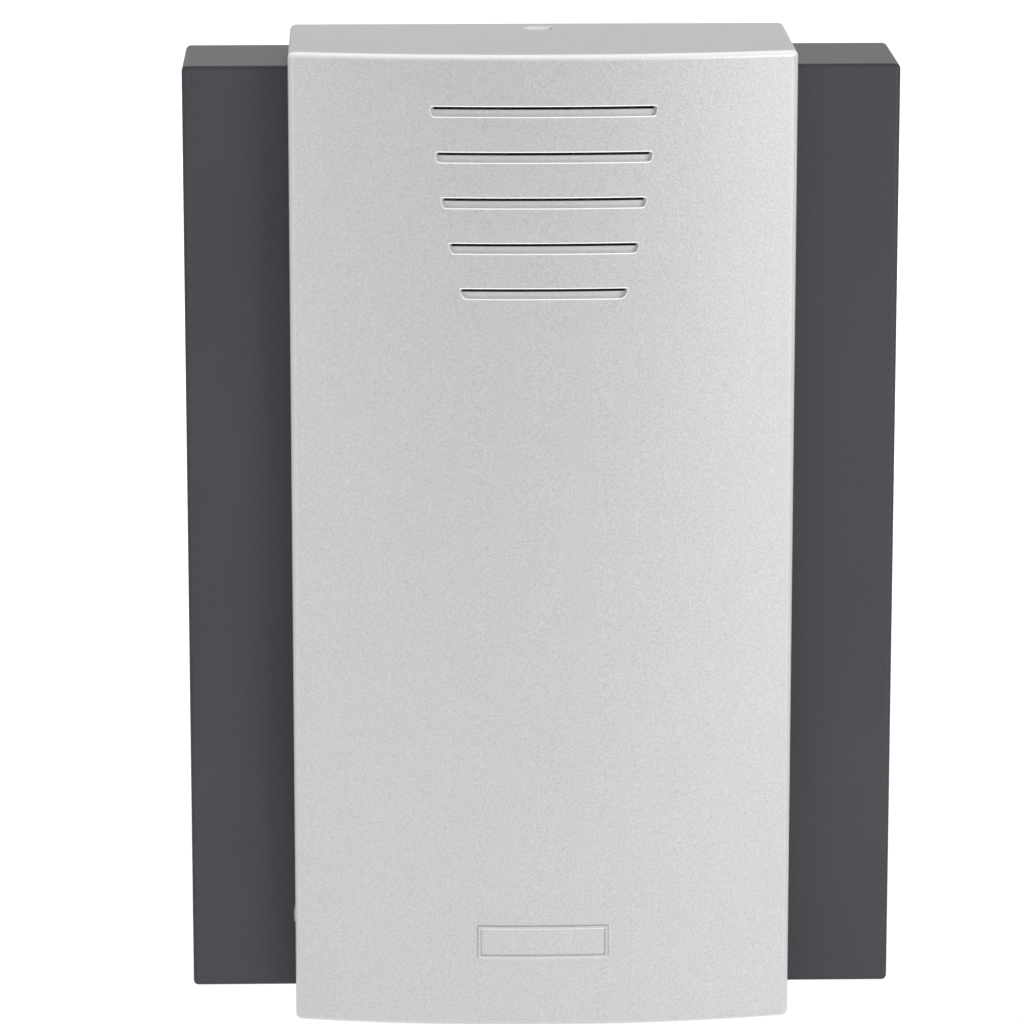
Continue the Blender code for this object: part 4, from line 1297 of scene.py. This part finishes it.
class Finish:
    """A new Principled material with plain-number sockets set once."""

    def __init__(self, name, **sockets):
        self.material = bpy.data.materials.new(name)
        self.material.use_nodes = True
        self.tree = self.material.node_tree
        self.shader = self.tree.nodes["Principled BSDF"]
        self.set(**sockets)
        self.place = self.add("TexCoord", output="Object")

    def feed(self, socket, value):
        if isinstance(value, Value):
            self.tree.links.new(value.socket, socket)
        elif isinstance(value, (tuple, list)) and len(value) == 3 and socket.type == "RGBA":
            socket.default_value = (*value, 1.0)
        else:
            socket.default_value = value

    def set(self, **sockets):
        for name, value in sockets.items():
            label = "IOR" if name == "ior" else name.replace("_", " ").title()
            self.feed(self.shader.inputs[label], value)

    def add(self, kind, settings=None, sockets=None, output=0):
        """Adds one node: its settings first, then the values or links of its sockets."""
        node = self.tree.nodes.new("ShaderNode" + kind)
        for name, value in (settings or {}).items():
            setattr(node, name, value)
        for name, value in (sockets or {}).items():
            self.feed(node.inputs[name], value)
        return Value(self, node.outputs[output])

    def noise(self, size, detail=2.0, roughness=0.5, stretch=None):
        """Noise whose blobs are about size metres across."""
        where = self.place
        if stretch:
            where = self.add("Mapping", sockets={"Vector": where, "Scale": stretch})
        sockets = {"Vector": where, "Scale": 1 / size}
        sockets.update({"Detail": detail, "Roughness": roughness})
        return self.add("TexNoise", sockets=sockets)

    def blend(self, factor, first, second):
        """A colour between two colours."""
        sockets = {"Factor": factor, 6: first, 7: second}
        return self.add("Mix", {"data_type": "RGBA"}, sockets, output=2)

    def bump(self, height, distance, strength=1.0):
        sockets = {"Height": height, "Distance": distance, "Strength": strength}
        self.set(normal=self.add("Bump", sockets=sockets))


# %% [markdown]
# ## Silver paint
#
# The cover's paint is full of fine aluminium flakes under a satin lacquer. The paint
# sparkles in grains of about half a millimetre, and the lacquer dries with a faint
# orange-peel swell. A part-metallic surface with two sizes of noise gives both.


# %% Mix the silver paint
def silver_paint():
    paint = Finish("silver_paint", metallic=0.72, roughness=0.42, ior=1.45)
    grain = paint.noise(0.00042, detail=2.0, roughness=0.6)
    cloud = paint.noise(0.012, detail=2.0)
    # Painted light: where the cover's attribute is set, the paint turns near white and less
    # metallic, a painted highlight on edges and slot walls.
    edge = paint.add("Attribute", {"attribute_name": "bright_edge"}, output="Fac")
    tone = 0.02 + 0.90 * grain + 0.06 * cloud
    flakes = paint.blend(tone, (0.290, 0.287, 0.291), (0.555, 0.548, 0.550))
    paint.set(base_color=paint.blend(edge, flakes, (0.95, 0.945, 0.935)))
    paint.set(roughness=0.36 + 0.16 * grain, metallic=0.72 - 0.50 * edge)
    paint.bump(0.65 * grain + 0.35 * paint.noise(0.0011, detail=1.0), 0.00008, 0.6)
    return paint.material


# %% [markdown]
# ## Moulded plastics
#
# The housing's mould was spark-eroded, which leaves a fine even grain. The base plate and
# latch are smoother natural ABS, and the bobbin and strikers are nylon, a little yellow
# and waxy. One recipe serves them all, with each one's grain size and tones. Another
# serves the bare metals, and the wire has its own.


# %% Mix the plastics and metals
def moulded_plastic(name, dark, light, roughness, grain_size, grain_height):
    """A plastic between two tones with a spark-eroded grain."""
    plastic = Finish(name, roughness=roughness, ior=1.45)
    grain = plastic.noise(grain_size, detail=2.0)
    flow = plastic.noise(0.03, detail=3.0, stretch=(1.0, 1.0, 0.4))
    plastic.set(base_color=plastic.blend(0.5 * grain + 0.5 * flow, dark, light))
    plastic.set(roughness=roughness - 0.06 + 0.12 * grain)
    plastic.bump(grain, grain_height, 0.7)
    return plastic.material


def plated_steel(name, tone, roughness, grain_stretch):
    """Zinc-plated or ground steel: drawn scratches one way and faint clouds."""
    steel = Finish(name, metallic=1.0, roughness=roughness)
    scratches = steel.noise(0.0016, detail=4.0, roughness=0.7, stretch=grain_stretch)
    clouds = steel.noise(0.006, detail=3.0)
    dark = tuple(0.78 * c for c in tone)
    steel.set(base_color=steel.blend(0.55 * scratches + 0.45 * clouds, dark, tone))
    steel.set(roughness=roughness - 0.08 + 0.22 * scratches)
    steel.bump(scratches, 0.00004, 0.5)
    return steel.material


def wound_copper():
    """Enamelled wire laid turn by turn, with bands of painted shade and highlight along it.
    """
    copper = Finish("enamelled_copper", metallic=0.9, roughness=0.30)
    settings = {"wave_type": "BANDS", "bands_direction": "X", "wave_profile": "SIN"}
    sockets = {"Vector": copper.place, "Scale": 1 / 0.0032, "Distortion": 0.3}
    turns = copper.add("TexWave", settings, sockets, output="Fac")
    # The colour swings between dark and light copper in bands along the coil: painted shade
    # and painted highlight for the turns of wire.
    copper.set(base_color=copper.blend(turns, (0.30, 0.09, 0.03), (0.75, 0.30, 0.12)))
    copper.bump(turns, 0.00012, 0.8)
    return copper.material


PLASTICS = {
    # finish: (dark tone, light tone, roughness, grain size, grain height)
    "dark_abs": ((0.004, 0.004, 0.007), (0.046, 0.046, 0.054), 0.50, 0.00035, 0.00008),
    "white_abs": ((0.76, 0.75, 0.71), (0.83, 0.82, 0.79), 0.42, 0.0006, 0.00003),
    "natural_nylon": ((0.70, 0.67, 0.56), (0.80, 0.78, 0.69), 0.38, 0.0008, 0.00003),
    "coil_tape": ((0.66, 0.50, 0.12), (0.80, 0.66, 0.22), 0.30, 0.0012, 0.00005),
    "black_rubber": ((0.018,) * 3, (0.035,) * 3, 0.75, 0.0004, 0.00006),
    "lead_insulation": ((0.38, 0.03, 0.025), (0.52, 0.06, 0.05), 0.42, 0.0006, 0.00003),
}
METALS = {
    # finish: (tone, roughness, stretch of the scratches)
    "zinc_steel": ((0.66, 0.66, 0.63), 0.34, (1, 1, 1)),
    "tone_steel": ((0.70, 0.71, 0.73), 0.26, (1, 6, 0.25)),
    "spring_steel": ((0.60, 0.60, 0.61), 0.26, (1, 1, 1)),
    "brass": ((0.80, 0.62, 0.30), 0.30, (1, 1, 4)),
}
MATERIALS = {"silver_paint": silver_paint(), "enamelled_copper": wound_copper()}
for recipe, table in ((moulded_plastic, PLASTICS), (plated_steel, METALS)):
    for finish, settings in table.items():
        MATERIALS[finish] = recipe(finish, *settings)
print(len(MATERIALS), "finishes mixed")

# %% [markdown]
# ## Dress the pieces
#
# Each stand-in takes the finish that the record names for its engineering piece and is
# shown in that piece's place. All but the spring move with the same body as their piece;
# the spring is joined to no body and stays where it was wound.

# %% Dress every piece
slot_of = {part["node"]: part["material_slot"] for part in frame["record"]["subparts"]}
bodies = frame["record"]["behaviour"]["bodies"]
body_of = {node: body for body, nodes in bodies.items() for node in nodes}
for node_name, piece in stand_ins.items():
    piece.data.materials.clear()
    piece.data.materials.append(MATERIALS[slot_of[node_name]])
    if node_name == "return_spring":
        start, end = (SPRING_START, AXIS_Y, 0), (SPRING_END, AXIS_Y, 0)
        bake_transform(piece)
    else:
        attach(piece, body_of[node_name])
    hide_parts(node_name)
print(len(stand_ins), "stand-ins dressed")
